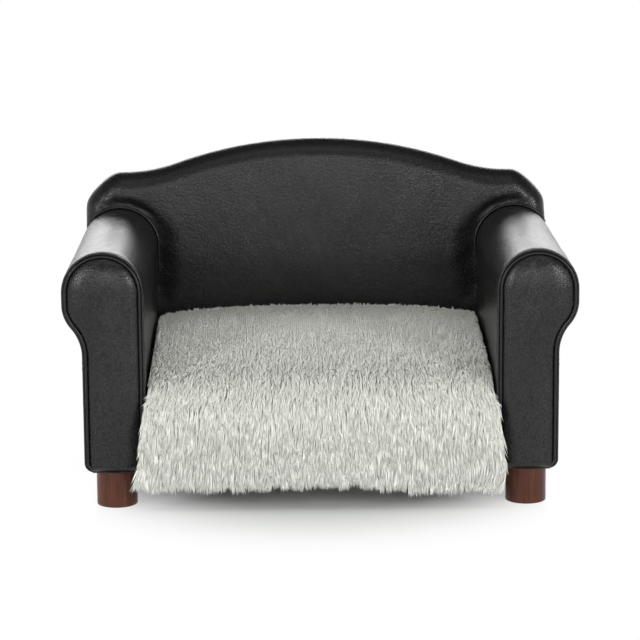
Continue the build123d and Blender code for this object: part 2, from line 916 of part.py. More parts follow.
# Shag cover: deep pile over the cushion, falling over the front to the hem
with BuildPart() as shag_cover:
    for share in station_shares:
        x = share * (apron_hem_x + gap)
        spread = min(abs(x) / cushion_x, 1)
        rise = cushion_crown * (1 - (1 - crown_edge_share) * spread**crown_power)
        wave = cos(pi * share * (len(station_shares) - 1) / 2)
        fold_y = front_y + fold_depth * (1 - wave) / 2
        hem_z = hem_height + hem_wave * (1 + wave) / 2
        rear_z = edge_z + rise * crown_rear_share
        front_z = edge_z + rise * crown_front_share
        peak_y = cushion_rear_y + (front_y - cushion_rear_y) * crown_peak_share
        bend = corner_radius * (1 - half_turn_share)
        shoulder_y = fold_y + waterfall_depth
        fall_z = front_z - waterfall_height
        with BuildSketch(Plane.YZ.offset(x)):
            with BuildLine():
                Line((cushion_rear_y, cushion_z), (cushion_rear_y, rear_z - corner_radius))
                ThreePointArc(
                    (cushion_rear_y, rear_z - corner_radius),
                    (cushion_rear_y - bend, rear_z - bend),
                    (cushion_rear_y - corner_radius, rear_z),
                )
                ThreePointArc(
                    (cushion_rear_y - corner_radius, rear_z),
                    (peak_y, edge_z + rise),
                    (shoulder_y, front_z),
                )
                ThreePointArc(
                    (shoulder_y, front_z),
                    (
                        shoulder_y - half_turn_share * waterfall_depth,
                        fall_z + half_turn_share * waterfall_height,
                    ),
                    (fold_y, fall_z),
                )
                Line((fold_y, fall_z), (fold_y, hem_z))
                Line((fold_y, hem_z), (apron_back_y, hem_z))
                Line((apron_back_y, hem_z), (apron_back_y, cushion_z))
                Line((apron_back_y, cushion_z), (cushion_rear_y, cushion_z))
            make_face()
    loft()
    with BuildSketch(Plane.XY.offset(hem_height - overrun)):
        with BuildLine():
            plan_outline(cushion_x, apron_back_y, cushion_rear_y)
        make_face()
        with Locations((0, apron_back_y)):
            Rectangle(
                2 * apron_hem_x,
                apron_back_y - front_y + overrun,
                align=(Align.CENTER, Align.MAX),
            )
    extrude(amount=overall_height, mode=Mode.INTERSECT)
    with BuildSketch(across(front_y - overrun)):
        with BuildLine():
            Polyline(
                (-apron_hem_x, hem_height),
                (-apron_top_x, edge_z),
                (-apron_top_x, overall_height),
                (apron_top_x, overall_height),
                (apron_top_x, edge_z),
                (apron_hem_x, hem_height),
                close=True,
            )
        make_face()
    extrude(amount=-overall_depth - overrun, mode=Mode.INTERSECT)
    add(core_room, mode=Mode.SUBTRACT)
write(shag_cover, "shag_cover")

# Zip along the rear of the cushion: tape with its teeth, and a slider on them
zip_z = cushion_z + zip_rise
tape_rear_y = cushion_rear_y + zip_tape
tooth_rear_y = tape_rear_y + tooth_depth
tooth_count = int(zip_length / tooth_pitch)
with BuildPart() as zip_strip:
    block(
        (-zip_length / 2, cushion_rear_y, zip_z - zip_height / 2),
        (zip_length / 2, tape_rear_y, zip_z + zip_height / 2),
    )
    with Locations((0, tape_rear_y, zip_z)):
        with GridLocations(tooth_pitch, 0, tooth_count, 1):
            Box(
                tooth_width,
                tooth_depth,
                tooth_height,
                align=(Align.CENTER, Align.MIN, Align.CENTER),
            )
write(zip_strip, "zip_strip")

slider_x = -zip_travel / 2
slider_front_y = tape_rear_y + gap
slider_rear_y = tooth_rear_y + gap + slider_wall
with BuildPart() as zip_slider:
    block(
        (slider_x - slider_length / 2, slider_front_y, zip_z - slider_height / 2),
        (slider_x + slider_length / 2, slider_rear_y, zip_z + slider_height / 2),
    )
    fillet(zip_slider.edges().filter_by(Axis.Y), slider_wall)
    block(
        (slider_x - overrun, slider_front_y - gap, zip_z - tooth_height / 2 - gap),
        (slider_x + overrun, tooth_rear_y + gap, zip_z + tooth_height / 2 + gap),
        mode=Mode.SUBTRACT,
    )
    block(
        (slider_x - pull_width / 2, slider_rear_y - slider_wall, zip_z - pull_length),
        (slider_x + pull_width / 2, slider_rear_y, zip_z),
    )
write(zip_slider, "zip_slider")
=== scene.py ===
import json
from math import acos, cos, hypot, radians, sin, sqrt

import bmesh
import bpy
import numpy as np
from mathutils import Matrix, Vector, noise


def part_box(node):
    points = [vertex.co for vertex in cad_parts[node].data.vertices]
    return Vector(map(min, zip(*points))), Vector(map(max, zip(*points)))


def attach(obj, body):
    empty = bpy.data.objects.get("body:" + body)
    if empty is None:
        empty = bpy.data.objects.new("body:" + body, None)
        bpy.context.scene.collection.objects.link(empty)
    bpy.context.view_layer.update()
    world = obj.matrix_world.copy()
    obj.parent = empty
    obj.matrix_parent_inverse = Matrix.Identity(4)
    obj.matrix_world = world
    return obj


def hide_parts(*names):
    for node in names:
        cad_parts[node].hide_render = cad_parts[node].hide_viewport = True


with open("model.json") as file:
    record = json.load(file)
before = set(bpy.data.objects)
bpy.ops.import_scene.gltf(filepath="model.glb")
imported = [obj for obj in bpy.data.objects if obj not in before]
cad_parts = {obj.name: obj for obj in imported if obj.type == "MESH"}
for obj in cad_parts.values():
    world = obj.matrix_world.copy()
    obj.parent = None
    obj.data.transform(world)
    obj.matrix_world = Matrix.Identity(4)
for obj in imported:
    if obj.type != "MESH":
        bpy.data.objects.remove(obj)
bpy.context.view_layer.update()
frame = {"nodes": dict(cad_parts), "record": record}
rng = np.random.default_rng(11)

# Places read from the frame
arm_low, arm_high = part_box("arm_cover_right")
inner_x, seam_y, base_z = arm_low
outer_x, back_y, arm_top = arm_high
back_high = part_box("inside_back_cover")[1]
panel_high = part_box("outside_back_cover")[1]
seat_low, seat_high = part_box("platform_cover")
dust_low, dust_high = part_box("dust_cover")
pad_low, pad_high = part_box("cushion_base")
zip_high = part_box("zip_strip")[1]

# Shapes of the arms and of the camel back, in metres
roll_overhang = 0.024
roll_flank = 0.015
roll_under = 0.045
neck_radius = 0.055
base_corner = 0.012
inner_corner = 0.003
arm_lip = 0.014
shell_depth = 0.010
cloth = 0.0012
shell_taper = 0.060
rim_radius = 0.0017
seam_drop = 0.012
seam_reach = 0.005
piping_radius = 0.0018
piping_inset = 0.0049
piping_rise = 0.0028
piping_tail = 0.008
facing_inset = 0.0064
facing_height = 0.0130
facing_reach = 0.040
facing_power = 1.9
facing_gap = 0.0015
facing_foot = 0.011
back_overhang = 0.021
shoulder_drop = 0.045
shoulder_radius = 0.046
saddle_radius = 0.207
crown_drop = 0.06668
back_round = 0.024
back_bulge = 0.007
ridge_lift = 0.0045
ridge_fall = 0.0060
chamfer_angle = 45.0
chamfer_half_angle = 26.5
chamfer_softness = 0.0058
right_draw = 0.0030
rear_round = 0.0020
panel_inset = 0.0028
panel_hollow = 0.00018
welt_radius = 0.0019
welt_length = 0.045
welt_end = 32.0
outline_step = 0.0035
fine_step = 0.0007

# Levels and centres that follow from them
roll_radius = (outer_x - inner_x) / 2
roll_x = (outer_x + inner_x) / 2
roll_z = arm_top - roll_radius
flank_z = roll_z - roll_flank
side_x = outer_x - roll_overhang
back_outer_x = back_high.x
shoulder_z = back_high.z - shoulder_drop - shoulder_radius
shoulder_x = back_outer_x - shoulder_radius
crown_radius = (shoulder_x**2 + crown_drop**2) / (2 * crown_drop)
crown_z = back_high.z - crown_radius
back_middle = np.array((0.0, 0.19))

# The loose cushion and its pile, in metres
cushion_x = 0.217
cushion_rear = 0.155
cushion_front = -0.230
edge_height = 0.048
crown_height = 0.0375
crown_edge_share = 0.68
crown_rear_share = 0.98
crown_front_share = 0.14
crown_peak_share = 0.42
rear_corner = 0.010
side_round = 0.008
fall_height = 0.062
fall_depth = 0.078
apron_top_x = 0.2185
apron_hem_x = 0.2300
apron_rear = -0.2145
apron_top_z = 0.155
apron_height = 0.13
front_strand_y = -0.200
drawn_in = 0.0035
fold_depth = 0.0015
hem_z = 0.043
hem_tip_z = 0.0225
left_hem_drop = 0.0035
right_hem_drop = 0.0095
hem_corner_tuck = 0.0080
ground_depth = 0.0018
ground_more_depth = 0.0028
side_clearance = 0.0004
rear_limit = 0.151
limit_softness = 0.004
dust_slack = 0.0022
base_slack = 0.0002
base_thickness = 0.0008
shag_mid_z = pad_low.z

# Lengths of the cushion's section from its rear foot: rear, corner, top, fall over the front, hem
run_lengths = 0.060, 0.022, 0.296, 0.111, 0.060
run_ends = np.cumsum(run_lengths)
pile_run = run_ends[-1]
pile_rows, pile_columns = 190, 131

# Strands of the pile, and the lengths and widths of the clumps that they lean into
strand_spacing = 0.0019
strand_length = 0.0205
strand_width = 0.00078
flat_clump = 0.0300, 0.0027
hung_clump = 0.0190, 0.0030
wide_clump = 0.021, 0.012

sides = (("left", -1), ("right", 1))


def linked(name, data):
    """A new object in the scene"""
    item = bpy.data.objects.new(name, data)
    bpy.context.scene.collection.objects.link(item)
    return item


def new_object(name, points, faces, smooth=True):
    """A mesh object from points and faces, in metres"""
    mesh = bpy.data.meshes.new(name)
    mesh.from_pydata([tuple(p) for p in points], [], [tuple(f) for f in faces])
    mesh.validate()
    mesh.polygons.foreach_set("use_smooth", [smooth] * len(mesh.polygons))
    mesh.update()
    return linked(name, mesh)


def grid_faces(rows, columns, ring=False):
    """Quads of a grid of points; with ring the last column joins the first"""
    faces = []
    for i in range(rows - 1):
        for j in range(columns if ring else columns - 1):
            k = (j + 1) % columns
            faces.append((i * columns + j, i * columns + k, (i + 1) * columns + k, (i + 1) * columns + j))
    return faces


def face_outward(piece):
    """The closed piece, with all its faces turned outward"""
    form = bmesh.new()
    form.from_mesh(piece.data)
    bmesh.ops.recalc_face_normals(form, faces=form.faces)
    form.to_mesh(piece.data)
    form.free()
    piece.data.update()
    return piece


def closed_form(name, points, rings, count):
    """A closed object of so many rings of count points, with a cap at each end"""
    faces = grid_faces(rings, count, ring=True)
    faces += [tuple(range(count)), tuple(range((rings - 1) * count, rings * count))]
    return face_outward(new_object(name, points, faces))


def border(rows, columns):
    """Numbers of the points round the edge of a grid"""
    last = (rows - 1) * columns
    return [
        *range(columns),
        *range(2 * columns - 1, rows * columns, columns),
        *range(last + columns - 2, last - 1, -1),
        *range(last - columns, 0, -columns),
    ]


def walls(first, last):
    """Quads between two closed rings of point numbers"""
    return list(zip(first, first[1:] + first[:1], last[1:] + last[:1], last))


def dress(piece, body, slot, replaced=(), material=None):
    """Gives a piece its material, by slot name unless one is given, puts it in its body and hides the nodes
    that it stands for
    """
    piece.data.materials.append(material or materials[slot])
    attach(piece, body)
    if replaced:
        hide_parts(*replaced)
    return piece


def waves(size, seed, x, y, z=0.0):
    """Smooth noise from -1 to 1 at each point, with waves of about this size"""
    x, y, z = np.broadcast_arrays(x, y, z)
    shift = Vector((seed, seed * 1.7, seed * 0.6))
    values = [noise.noise(Vector(point) / size + shift) for point in zip(x.flat, y.flat, z.flat)]
    return np.array(values).reshape(x.shape)


def unit(vectors):
    """The vectors' directions, each of length 1"""
    return vectors / np.maximum(np.linalg.norm(vectors, axis=-1, keepdims=True), 1e-9)


def smooth_step(value, low, high):
    """Runs smoothly from 0 at low to 1 at high"""
    share = np.clip((np.asarray(value) - low) / (high - low), 0, 1)
    return share * share * (3 - 2 * share)


def bell(value, width):
    """1 where the value is zero, falling off to both sides"""
    return np.exp(-((value / width) ** 2))


def blurred(values, times):
    """Values smoothed along their first axis, with both ends kept"""
    values = values.copy()
    for _ in range(times):
        values[1:-1] = (values[:-2] + 2 * values[1:-1] + values[2:]) / 4
    return values


def softened(line, times):
    """A line with its kinks smoothed above the neck, and its lower part kept"""
    share = smooth_step(line[:, 1], 0.26, 0.30)[:, None]
    return line + (blurred(line, times) - line) * share


def straight(first, last, step=outline_step):
    """Points from first up to but not including last"""
    first, last = np.array(first), np.array(last)
    count = max(int(np.linalg.norm(last - first) / step), 2)
    return first + (last - first) * np.linspace(0, 1, count, endpoint=False)[:, None]


def polar(center, reach, turn):
    """Points at these distances and angles round a center, in degrees"""
    turn = np.radians(turn)
    return np.column_stack((center[0] + reach * np.cos(turn), center[1] + reach * np.sin(turn)))


def arc(center, radius, first, last, step=outline_step):
    """Points of an arc from one angle up to but not including another, in degrees"""
    count = max(int(abs(radians(last - first)) * radius / step), 4)
    return polar(center, radius, np.linspace(first, last, count, endpoint=False))


def angle_of(point, center):
    """Angle of a point seen from a center, in degrees"""
    return np.degrees(np.arctan2(point[1] - center[1], point[0] - center[0]))


def outward(path):
    """Unit normals to the left of a path that runs clockwise round its form"""
    along = unit(np.gradient(path, axis=0))
    return np.column_stack((-along[:, 1], along[:, 0]))


def flank_arcs(outer, overhang):
    """The underside of a roll and the neck below it, and the neck's lower end"""
    reach = roll_under + neck_radius
    sweep = acos((reach - overhang) / reach)
    turn = np.degrees(sweep)
    neck_z = flank_z - reach * sin(sweep)
    arcs = [
        arc((outer - roll_under, flank_z), roll_under, 0, -turn),
        arc((outer - overhang + neck_radius, neck_z), neck_radius, 180 - turn, 180),
    ]
    return arcs, neck_z


def arm_line(inset=0.0):
    """One arm seen from the front, from the foot of its inner face to its outer corner"""
    arcs, neck_z = flank_arcs(outer_x, roll_overhang)
    line = np.vstack([
        straight((inner_x, base_z), (inner_x, roll_z)),
        arc((roll_x, roll_z), roll_radius, 180, 0),
        straight((outer_x, roll_z), (outer_x, flank_z)),
        *arcs,
        straight((side_x, neck_z), (side_x, base_z + base_corner)),
        [(side_x, base_z + base_corner)],
    ])
    return line - outward(line) * inset, neck_z


def arm_shell(name, side):
    """Leather and foam round one arm, with its turned rim, seam and turned-under edges"""
    body, neck_z = arm_line()
    seam_z = neck_z - seam_drop
    foot_x = side_x - base_corner
    path = np.vstack([
        straight((inner_x + arm_lip, base_z), (inner_x + inner_corner, base_z), 0.002),
        arc((inner_x + inner_corner, base_z + inner_corner), inner_corner, 270, 180, 0.001),
        body[body[:, 1] > base_z + inner_corner][:-1],
    ])
    cut = np.flatnonzero((path[:, 0] > side_x - 1e-6) & (path[:, 1] < neck_z - 0.002))[0]
    path = np.vstack([
        path[:cut],
        straight(path[cut], (side_x, seam_z + seam_reach)),
        straight((side_x, seam_z + seam_reach), (side_x, seam_z - seam_reach), fine_step),
        straight((side_x, seam_z - seam_reach), (side_x, base_z + base_corner)),
        arc((foot_x, base_z + base_corner), base_corner, 0, -90, 0.0015),
        straight((foot_x, base_z), (foot_x - arm_lip, base_z), 0.002),
        [(foot_x - arm_lip, base_z)],
    ])
    normal = outward(path)
    run = np.concatenate([[0], np.cumsum(np.linalg.norm(np.diff(path, axis=0), axis=1))])
    ends = np.minimum(run, run[-1] - run)
    depth = (cloth + (shell_depth - cloth) * smooth_step(ends, arm_lip, shell_taper))[:, None]
    rim = np.minimum(rim_radius, depth / 2)
    rim_turns = np.radians(np.linspace(0, 180, 9))
    rows = np.concatenate([
        np.linspace(back_y, seam_y + 0.03, 46),
        np.linspace(seam_y + 0.028, seam_y + 0.001, 16),
    ])
    # Broad unevenness, puckers and a groove beside the piping, and the sewn seam below the neck
    lift = 0.00055 * waves(0.055, 3.0, path[:, :1], rows, path[:, 1:])
    lift += 0.0004 * waves(0.008, 9.0, run[:, None], rows * 0.35) * np.exp(-(rows - seam_y) / 0.014)
    lift -= 0.0009 * bell(rows - seam_y - 0.0045, 0.0022)
    seam = np.where((path[:, 0] > side_x - 1e-5) & (path[:, 1] < neck_z), path[:, 1] - seam_z, 1.0)
    lift += (0.0006 * bell(seam, 0.005) - 0.0016 * bell(seam, 0.0011))[:, None]
    lift *= smooth_step(ends, arm_lip, arm_lip + 0.02)[:, None]
    inset = np.hstack([-lift, rim * (1 - np.cos(rim_turns)), depth, depth])
    y = np.hstack([
        np.tile(rows, (len(path), 1)),
        seam_y - rim * np.sin(rim_turns),
        np.tile((seam_y + 0.001, back_y), (len(path), 1)),
    ])
    x, z = (path[:, k, None] - normal[:, k, None] * inset for k in (0, 1))
    points = np.stack((side * x, y, z), axis=2).reshape(-1, 3)
    return closed_form(f"arm_wrap_{name}", points, *inset.shape)


def upright(line, side, y):
    """Points in space of a line that is drawn as seen from the front"""
    return np.column_stack((side * line[:, 0], np.full(len(line), y), line[:, 1]))


def tube(name, path, radius, sides=12):
    """A closed tube along points that lie about square to the y axis"""
    along = unit(np.gradient(path, axis=0))
    across = np.tile((0.0, 1.0, 0.0), (len(path), 1))
    third = np.cross(along, across)
    turn = np.linspace(0, 2 * np.pi, sides, endpoint=False)[:, None]
    spokes = np.cos(turn) * across[:, None] + np.sin(turn) * third[:, None]
    rings = path[:, None] + radius[:, None, None] * spokes
    return closed_form(name, rings.reshape(-1, 3), len(path), sides)


def arm_piping(name, side):
    """Piping between an arm's wrap and its front pad, turned in at the outer foot"""
    body = arm_line(piping_inset)[0]
    corner = base_corner - piping_inset
    end_x, foot_z = side_x - piping_inset - corner, base_z + piping_inset
    line = np.vstack([
        [(body[0, 0], base_z + 0.001)],
        body[body[:, 1] > base_z + base_corner],
        arc((end_x, base_z + base_corner), corner, 0, -90, 0.0012),
        straight((end_x, foot_z), (end_x - piping_tail, foot_z), 0.0015),
    ])
    path = upright(line, side, seam_y - piping_rise)
    path[:, 1] += 0.00018 * waves(0.012, 5.0, *path.T)
    ends = smooth_step(np.arange(len(path))[::-1], -1, 5)
    radius = piping_radius * (0.35 + 0.65 * ends) * (1 + 0.05 * waves(0.006, 2.0, *path.T))
    return tube(f"front_piping_{name}", path, radius)


def side_limits(line, level):
    """Least and greatest x of a closed outline at one height"""
    first, last = line, np.roll(line, -1, axis=0)
    low, high = np.minimum(first[:, 1], last[:, 1]), np.maximum(first[:, 1], last[:, 1])
    hit = (low <= level) & (high >= level) & (high > low)
    share = (level - first[hit, 1]) / (last[hit, 1] - first[hit, 1])
    x = first[hit, 0] + share * (last[hit, 0] - first[hit, 0])
    return x.min(), x.max()


def edge_distance(points, line):
    """How far points of a plane lie from a closed outline"""
    first, last = line, np.roll(line, -1, axis=0)
    span = last - first
    size = np.maximum((span**2).sum(axis=1), 1e-12)
    nearest = np.full(len(points), 1e9)
    for start, way, square in zip(first, span, size):
        share = np.clip(((points - start) @ way) / square, 0, 1)
        gone = points - start - share[:, None] * way
        nearest = np.minimum(nearest, (gone**2).sum(axis=1))
    return np.sqrt(nearest)


def soft_distance(points, line):
    """Distance to a closed outline without the creases where two sides are equally near"""
    first, last = line, np.roll(line, -1, axis=0)
    middle, size = (first + last) / 2, np.linalg.norm(last - first, axis=1)
    total = np.zeros(len(points))
    for place, length in zip(middle, size):
        gone = ((points - place) ** 2).sum(axis=1) + 4e-6
        total += length / gone**3
    return (total / 1.178) ** -0.2


def arm_facing(name, side):
    """Crowned leather pad on the front of one arm"""
    body = arm_line(facing_inset)[0]
    floor = base_z + facing_gap
    corner = max(base_corner - facing_inset, 0.004)
    inner_foot, outer_foot = inner_x + facing_inset, side_x - facing_inset
    upper = np.vstack([
        body[body[:, 1] > floor + corner],
        arc((outer_foot - corner, floor + corner), corner, 0, -90, 0.001),
    ])
    line = np.vstack([[(inner_foot, floor)], upper, [(outer_foot - corner, floor)]])
    top = line[:, 1].max()
    lower = floor + (roll_z - floor) * (1 - np.cos(np.linspace(0.02, 1, 84) * np.pi / 2)) ** 0.8
    levels = np.concatenate([
        floor + np.array([0.00005, 0.0003, 0.0008, 0.0015]),
        lower[lower > floor + 0.002],
        roll_z + (top - roll_z) * np.sin(np.linspace(0.02, 0.995, 44) * np.pi / 2),
        [top - 0.00001],
    ])
    columns = (1 - np.cos(np.linspace(0, np.pi, 61))) / 2
    low, high = np.array([side_limits(line, level) for level in levels]).T[:, :, None]
    x = (low + (high - low) * columns).ravel()
    z = np.repeat(levels, len(columns))
    flat = np.column_stack((x, z))
    legs = np.vstack([
        [(inner_foot, floor - 0.2)],
        upper[upper[:, 1] > floor + 2 * corner],
        [(outer_foot, floor - 0.2)],
    ])
    share = np.clip(1 - edge_distance(flat, np.vstack([legs, legs[::-1]])) / facing_reach, 0, 1)
    height = facing_height * (1 - share**facing_power) ** (1 / facing_power)
    height *= np.sqrt(1 - (1 - np.clip((z - floor) / facing_foot, 0, 1)) ** 2)
    distance = edge_distance(flat, line)
    # Broad creases, a fold that runs down from the roll, and puckers along the piping
    crease = 0.0005 * waves(0.030, 4.0 + side, x, 0.0, z * 0.55)
    crease += 0.00016 * waves(0.011, 7.0 + side, x * 1.6, 0.0, z * 0.8)
    fold = bell(x - (roll_x - 0.012 + 0.25 * (z - roll_z)), 0.0045)
    fold *= smooth_step(z, roll_z - 0.05, roll_z + 0.01)
    crease -= 0.0010 * fold * (1 if side > 0 else 0.35)
    pucker = waves(0.0045, 1.0, np.arctan2(z - roll_z, x - roll_x) * 0.05, z * 0.8)
    crease += 0.00035 * pucker * np.exp(-distance / 0.007) * smooth_step(distance, 0.0, 0.002)
    height += crease * smooth_step(distance, 0.0, 0.012)
    face = np.column_stack((side * x, seam_y - height, z))
    ring = border(len(levels), len(columns))
    rear = face[ring]
    rear[:, 1] = seam_y + 0.001
    behind = list(range(len(face), len(face) + len(ring)))
    faces = grid_faces(len(levels), len(columns)) + walls(ring, behind) + [tuple(behind)]
    return face_outward(new_object(f"front_pad_{name}", np.vstack([face, rear]), faces))


def shoulder_corner(center, first, last):
    """The shoulder's arc with its corner flattened, as the leather is pulled over it"""
    turn = np.linspace(first, last, 45)
    flat = shoulder_radius * cos(radians(chamfer_half_angle)) / np.cos(np.radians(turn - chamfer_angle))
    flat = np.where(np.abs(turn - chamfer_angle) < 80, flat, 1.0)
    soft = chamfer_softness
    reach = -soft * np.logaddexp(-shoulder_radius / soft, -flat / soft)
    missing = shoulder_radius - reach[-1], shoulder_radius - reach[0]
    reach += np.interp(turn[::-1], (last, first), missing)[::-1]
    return polar(center, reach, turn)[:-1]


def back_line():
    """The camel back seen from the front, clockwise from its lower left corner"""
    arcs, neck_z = flank_arcs(back_outer_x, back_overhang)
    rise = shoulder_z - crown_z
    span = hypot(shoulder_x, rise)
    crown_reach = crown_radius + saddle_radius
    shoulder_reach = shoulder_radius + saddle_radius
    along = (crown_reach**2 - shoulder_reach**2 + span**2) / (2 * span)
    off = sqrt(crown_reach**2 - along**2)
    saddle = np.array((
        (along * shoulder_x - off * rise) / span,
        crown_z + (along * rise + off * shoulder_x) / span,
    ))
    crown = np.array((0, crown_z))
    shoulder = np.array((shoulder_x, shoulder_z))
    crown_turn = angle_of(saddle, crown)
    shoulder_turn = angle_of(saddle, shoulder)
    neck_x = back_outer_x - back_overhang
    half = np.vstack([
        arc(crown, crown_radius, 90, crown_turn),
        arc(saddle, saddle_radius, crown_turn - 180, shoulder_turn - 180),
        shoulder_corner(shoulder, shoulder_turn, 0),
        straight((back_outer_x, shoulder_z), (back_outer_x, flank_z)),
        *arcs,
        straight((neck_x, neck_z), (neck_x, base_z)),
        [(neck_x, base_z)],
    ])
    half = softened(half, 5)
    left = half[:0:-1] * (-1, 1)
    drawn = half.copy()
    drawn[:, 0] -= right_draw * smooth_step(half[:, 0], 0.22, 0.30) * smooth_step(half[:, 1], 0.27, 0.32)
    return np.vstack([left, drawn])


def shrunk(edge, shares, y):
    """Rings of a face of the back, from its edge toward its middle; x, z and y of each point"""
    level = np.full(len(edge), y)
    return [np.column_stack((back_middle + (edge - back_middle) * share, level)) for share in shares]


def back_pad():
    """Padded camel back: rolled edge all round and a crowned face"""
    line = back_line()
    normal = outward(line)
    count = len(line)
    rear = back_high.y
    top_share = smooth_step(line[:, 1], flank_z - 0.03, shoulder_z + 0.02)
    soft = back_round * (0.16 + 0.84 * top_share)
    rows = []

    def ring(inset, y):
        behind = np.clip((y - back_y - soft) / (rear - back_y - soft), 0, 1)
        x, z = (line - normal * np.broadcast_to(inset, (count,))[:, None]).T
        z = z + (ridge_lift - ridge_fall * behind) * top_share
        rows.append(np.column_stack((x, z, np.broadcast_to(y, (count,)))))

    for turn in np.radians(np.linspace(90, 0, 7)):
        ring(rear_round * (1 - cos(turn)), rear - rear_round * (1 - sin(turn)))
    for share in np.linspace(0.15, 0.85, 6):
        ring(0.0, rear - rear_round + (back_y + soft - rear + rear_round) * share)
    first = len(rows) * count
    for turn in np.radians(np.linspace(90, 0, 12)):
        ring(soft * (1 - sin(turn)), back_y + soft * (1 - cos(turn)))
    shares = np.concatenate([np.linspace(0.985, 0.86, 12), np.linspace(0.84, 0.06, 34)])
    rows += shrunk(rows[-1][:, :2], shares, back_y)
    points = np.vstack(rows)
    flat = points[first:, :2]
    x, z, y = points[first:].T
    roll = arm_line()[0]
    near = np.minimum(edge_distance(flat, roll), edge_distance(flat, roll * (-1, 1)))
    angle = np.arctan2(z - roll_z, np.abs(x) - roll_x)
    # A soft bulge, drag lines, and gathers where the rolls of the arms press in
    push = back_bulge * (1 - (1 - np.clip(soft_distance(flat, line) / 0.12, 0, 1)) ** 2)
    push *= smooth_step(z, 0.16, 0.27) * smooth_step(near, -0.004, 0.032)
    push += 0.0009 * waves(0.045, 6.0, x, z * 0.5) + 0.0004 * waves(0.016, 8.0, x * 2.2, z * 0.6)
    push += 0.0011 * np.exp(-near / 0.014) * waves(0.009, 3.0, angle * 0.05, 0.0)
    inner = 180 - np.degrees(angle)
    window = smooth_step(inner, 8, 45) * (1 - smooth_step(inner, 70, 120))
    gather = (0.0013 * bell(near - 0.0085, 0.0045) - 0.0007 * bell(near - 0.018, 0.006)) * window
    creases = 0.0010 * waves(0.0035, 14.0, angle * 0.05, near * 0.35) * bell(near - 0.010, 0.009)
    push += (creases - gather) * smooth_step(edge_distance(flat, line), 0.004, 0.02)
    points[first:, 2] -= push * smooth_step(y, rear - 0.03, back_y + 0.004)
    return closed_form("back_pad", points[:, (0, 2, 1)], len(rows), count)


def outside_back():
    """Leather panel closing the rear of the back, with a soft edge; its flat size and area"""
    line = back_line()
    normal = outward(line)
    count = len(line)
    rear = panel_high.y
    edge = line - normal * panel_inset
    edge[:, 1] += (ridge_lift - ridge_fall) * smooth_step(line[:, 1], flank_z - 0.03, shoulder_z + 0.02)
    edge[:, 1] = np.maximum(edge[:, 1], base_z)
    rim = ((0.0, back_high.y - 0.0004), (0.0, rear - 0.0008), (0.0003, rear - 0.0003), (0.0009, rear))
    rows = [np.column_stack((edge - normal * inset, np.full(count, y))) for inset, y in rim]
    rows += shrunk(edge, np.linspace(0.99, 0.05, 44), rear)
    points = np.vstack(rows)
    face = points[len(rim) * count:]
    face[:, 2] -= panel_hollow * (1 + waves(0.06, 12.0, face[:, 0], face[:, 1] * 0.7))
    panel = closed_form("outside_back", points[:, (0, 2, 1)], len(rows), count)
    area = abs(np.sum(edge[:, 0] * np.roll(edge[:, 1], -1) - edge[:, 1] * np.roll(edge[:, 0], -1))) / 2
    return panel, edge.max(axis=0) - edge.min(axis=0), area


def back_welt(name, side):
    """Thin welt where the roll of one arm meets the back"""
    reach = roll_radius + welt_radius
    line = np.vstack([
        straight((roll_x - reach, roll_z - welt_length), (roll_x - reach, roll_z)),
        polar((roll_x, roll_z), reach, np.linspace(180, welt_end, 60)),
    ])
    share = np.linspace(0, 1, len(line))
    ends = smooth_step(share, 0, 0.25) * smooth_step(1 - share, 0, 0.2)
    path = upright(line, side, back_y - welt_radius * 0.9)
    return tube(f"roll_welt_{name}", path, welt_radius * (0.25 + 0.75 * ends), 10)


def platform():
    """Leather over the seat deck, rolled over the front rail and turned under it; its flat size"""
    bend, tuck, turned_under = 0.0024, 0.0012, 0.020
    front, rear, top, bottom = seat_low.y, seat_high.y, seat_high.z, seat_low.z
    line = np.vstack([
        straight((rear, top), (front + bend, top), 0.008),
        arc((front + bend, top - bend), bend, 90, 180, 0.0006),
        straight((front, top - bend), (front, bottom + bend), 0.006),
        arc((front + bend, bottom + bend), bend, 180, 270, 0.0006),
        straight((front + bend, bottom), (front + turned_under, bottom), 0.004),
    ])
    normal = -outward(line)
    x = np.linspace(seat_low.x - tuck, seat_high.x + tuck, 90)[:, None]
    y, z = line.T
    slack = smooth_step(y - front, 0.01, 0.06) * smooth_step(rear - y, 0.0, 0.04)
    sunk = -0.00010 * slack * (1 + waves(0.05, 2.0, x, y, z))
    ripple = np.where(z > top - 0.0001, sunk, 0.0003 * waves(0.04, 2.0, x, y, z))
    outer = line - normal * ripple[:, :, None]
    rings = np.concatenate([outer, (outer - normal * cloth)[:, ::-1]], axis=1)
    points = np.dstack((np.broadcast_to(x, rings.shape[:2]), rings)).reshape(-1, 3)
    length = np.linalg.norm(np.diff(line, axis=0), axis=1).sum()
    size = seat_high.x - seat_low.x + 2 * tuck, length
    return closed_form("seat_platform", points, *rings.shape[:2]), size


def cloth_plate(name, low, high, thick, shape, sag):
    """A thin closed cloth between two corners; sag(x, y, edge) lowers both of its faces"""
    x, y = np.meshgrid(*(np.linspace(low[k], high[k], shape[k]) for k in (0, 1)), indexing="ij")
    x, y = x.ravel(), y.ravel()
    edge = np.minimum(high[0] - np.abs(x), np.minimum(y - low[1], high[1] - y))
    drop = sag(x, y, edge)
    points = np.vstack([np.column_stack((x, y, z - drop)) for z in (low[2] + thick, low[2])])
    ring = border(*shape)
    faces = grid_faces(*shape)
    faces += [tuple(len(x) + k for k in face) for face in faces]
    faces += walls(ring, [len(x) + k for k in ring])
    return face_outward(new_object(name, points, faces))


def dust_sag(x, y, edge):
    """How far the cloth under the frame hangs between its staples"""
    return dust_slack * smooth_step(edge, 0.012, 0.10) * (1 + 0.6 * waves(0.07, 4.0, x, y))


def base_sag(x, y, edge):
    """Small unevenness of the cushion's base cloth"""
    return base_slack * smooth_step(edge, 0.0, 0.02) * waves(0.03, 5.0, x, y)


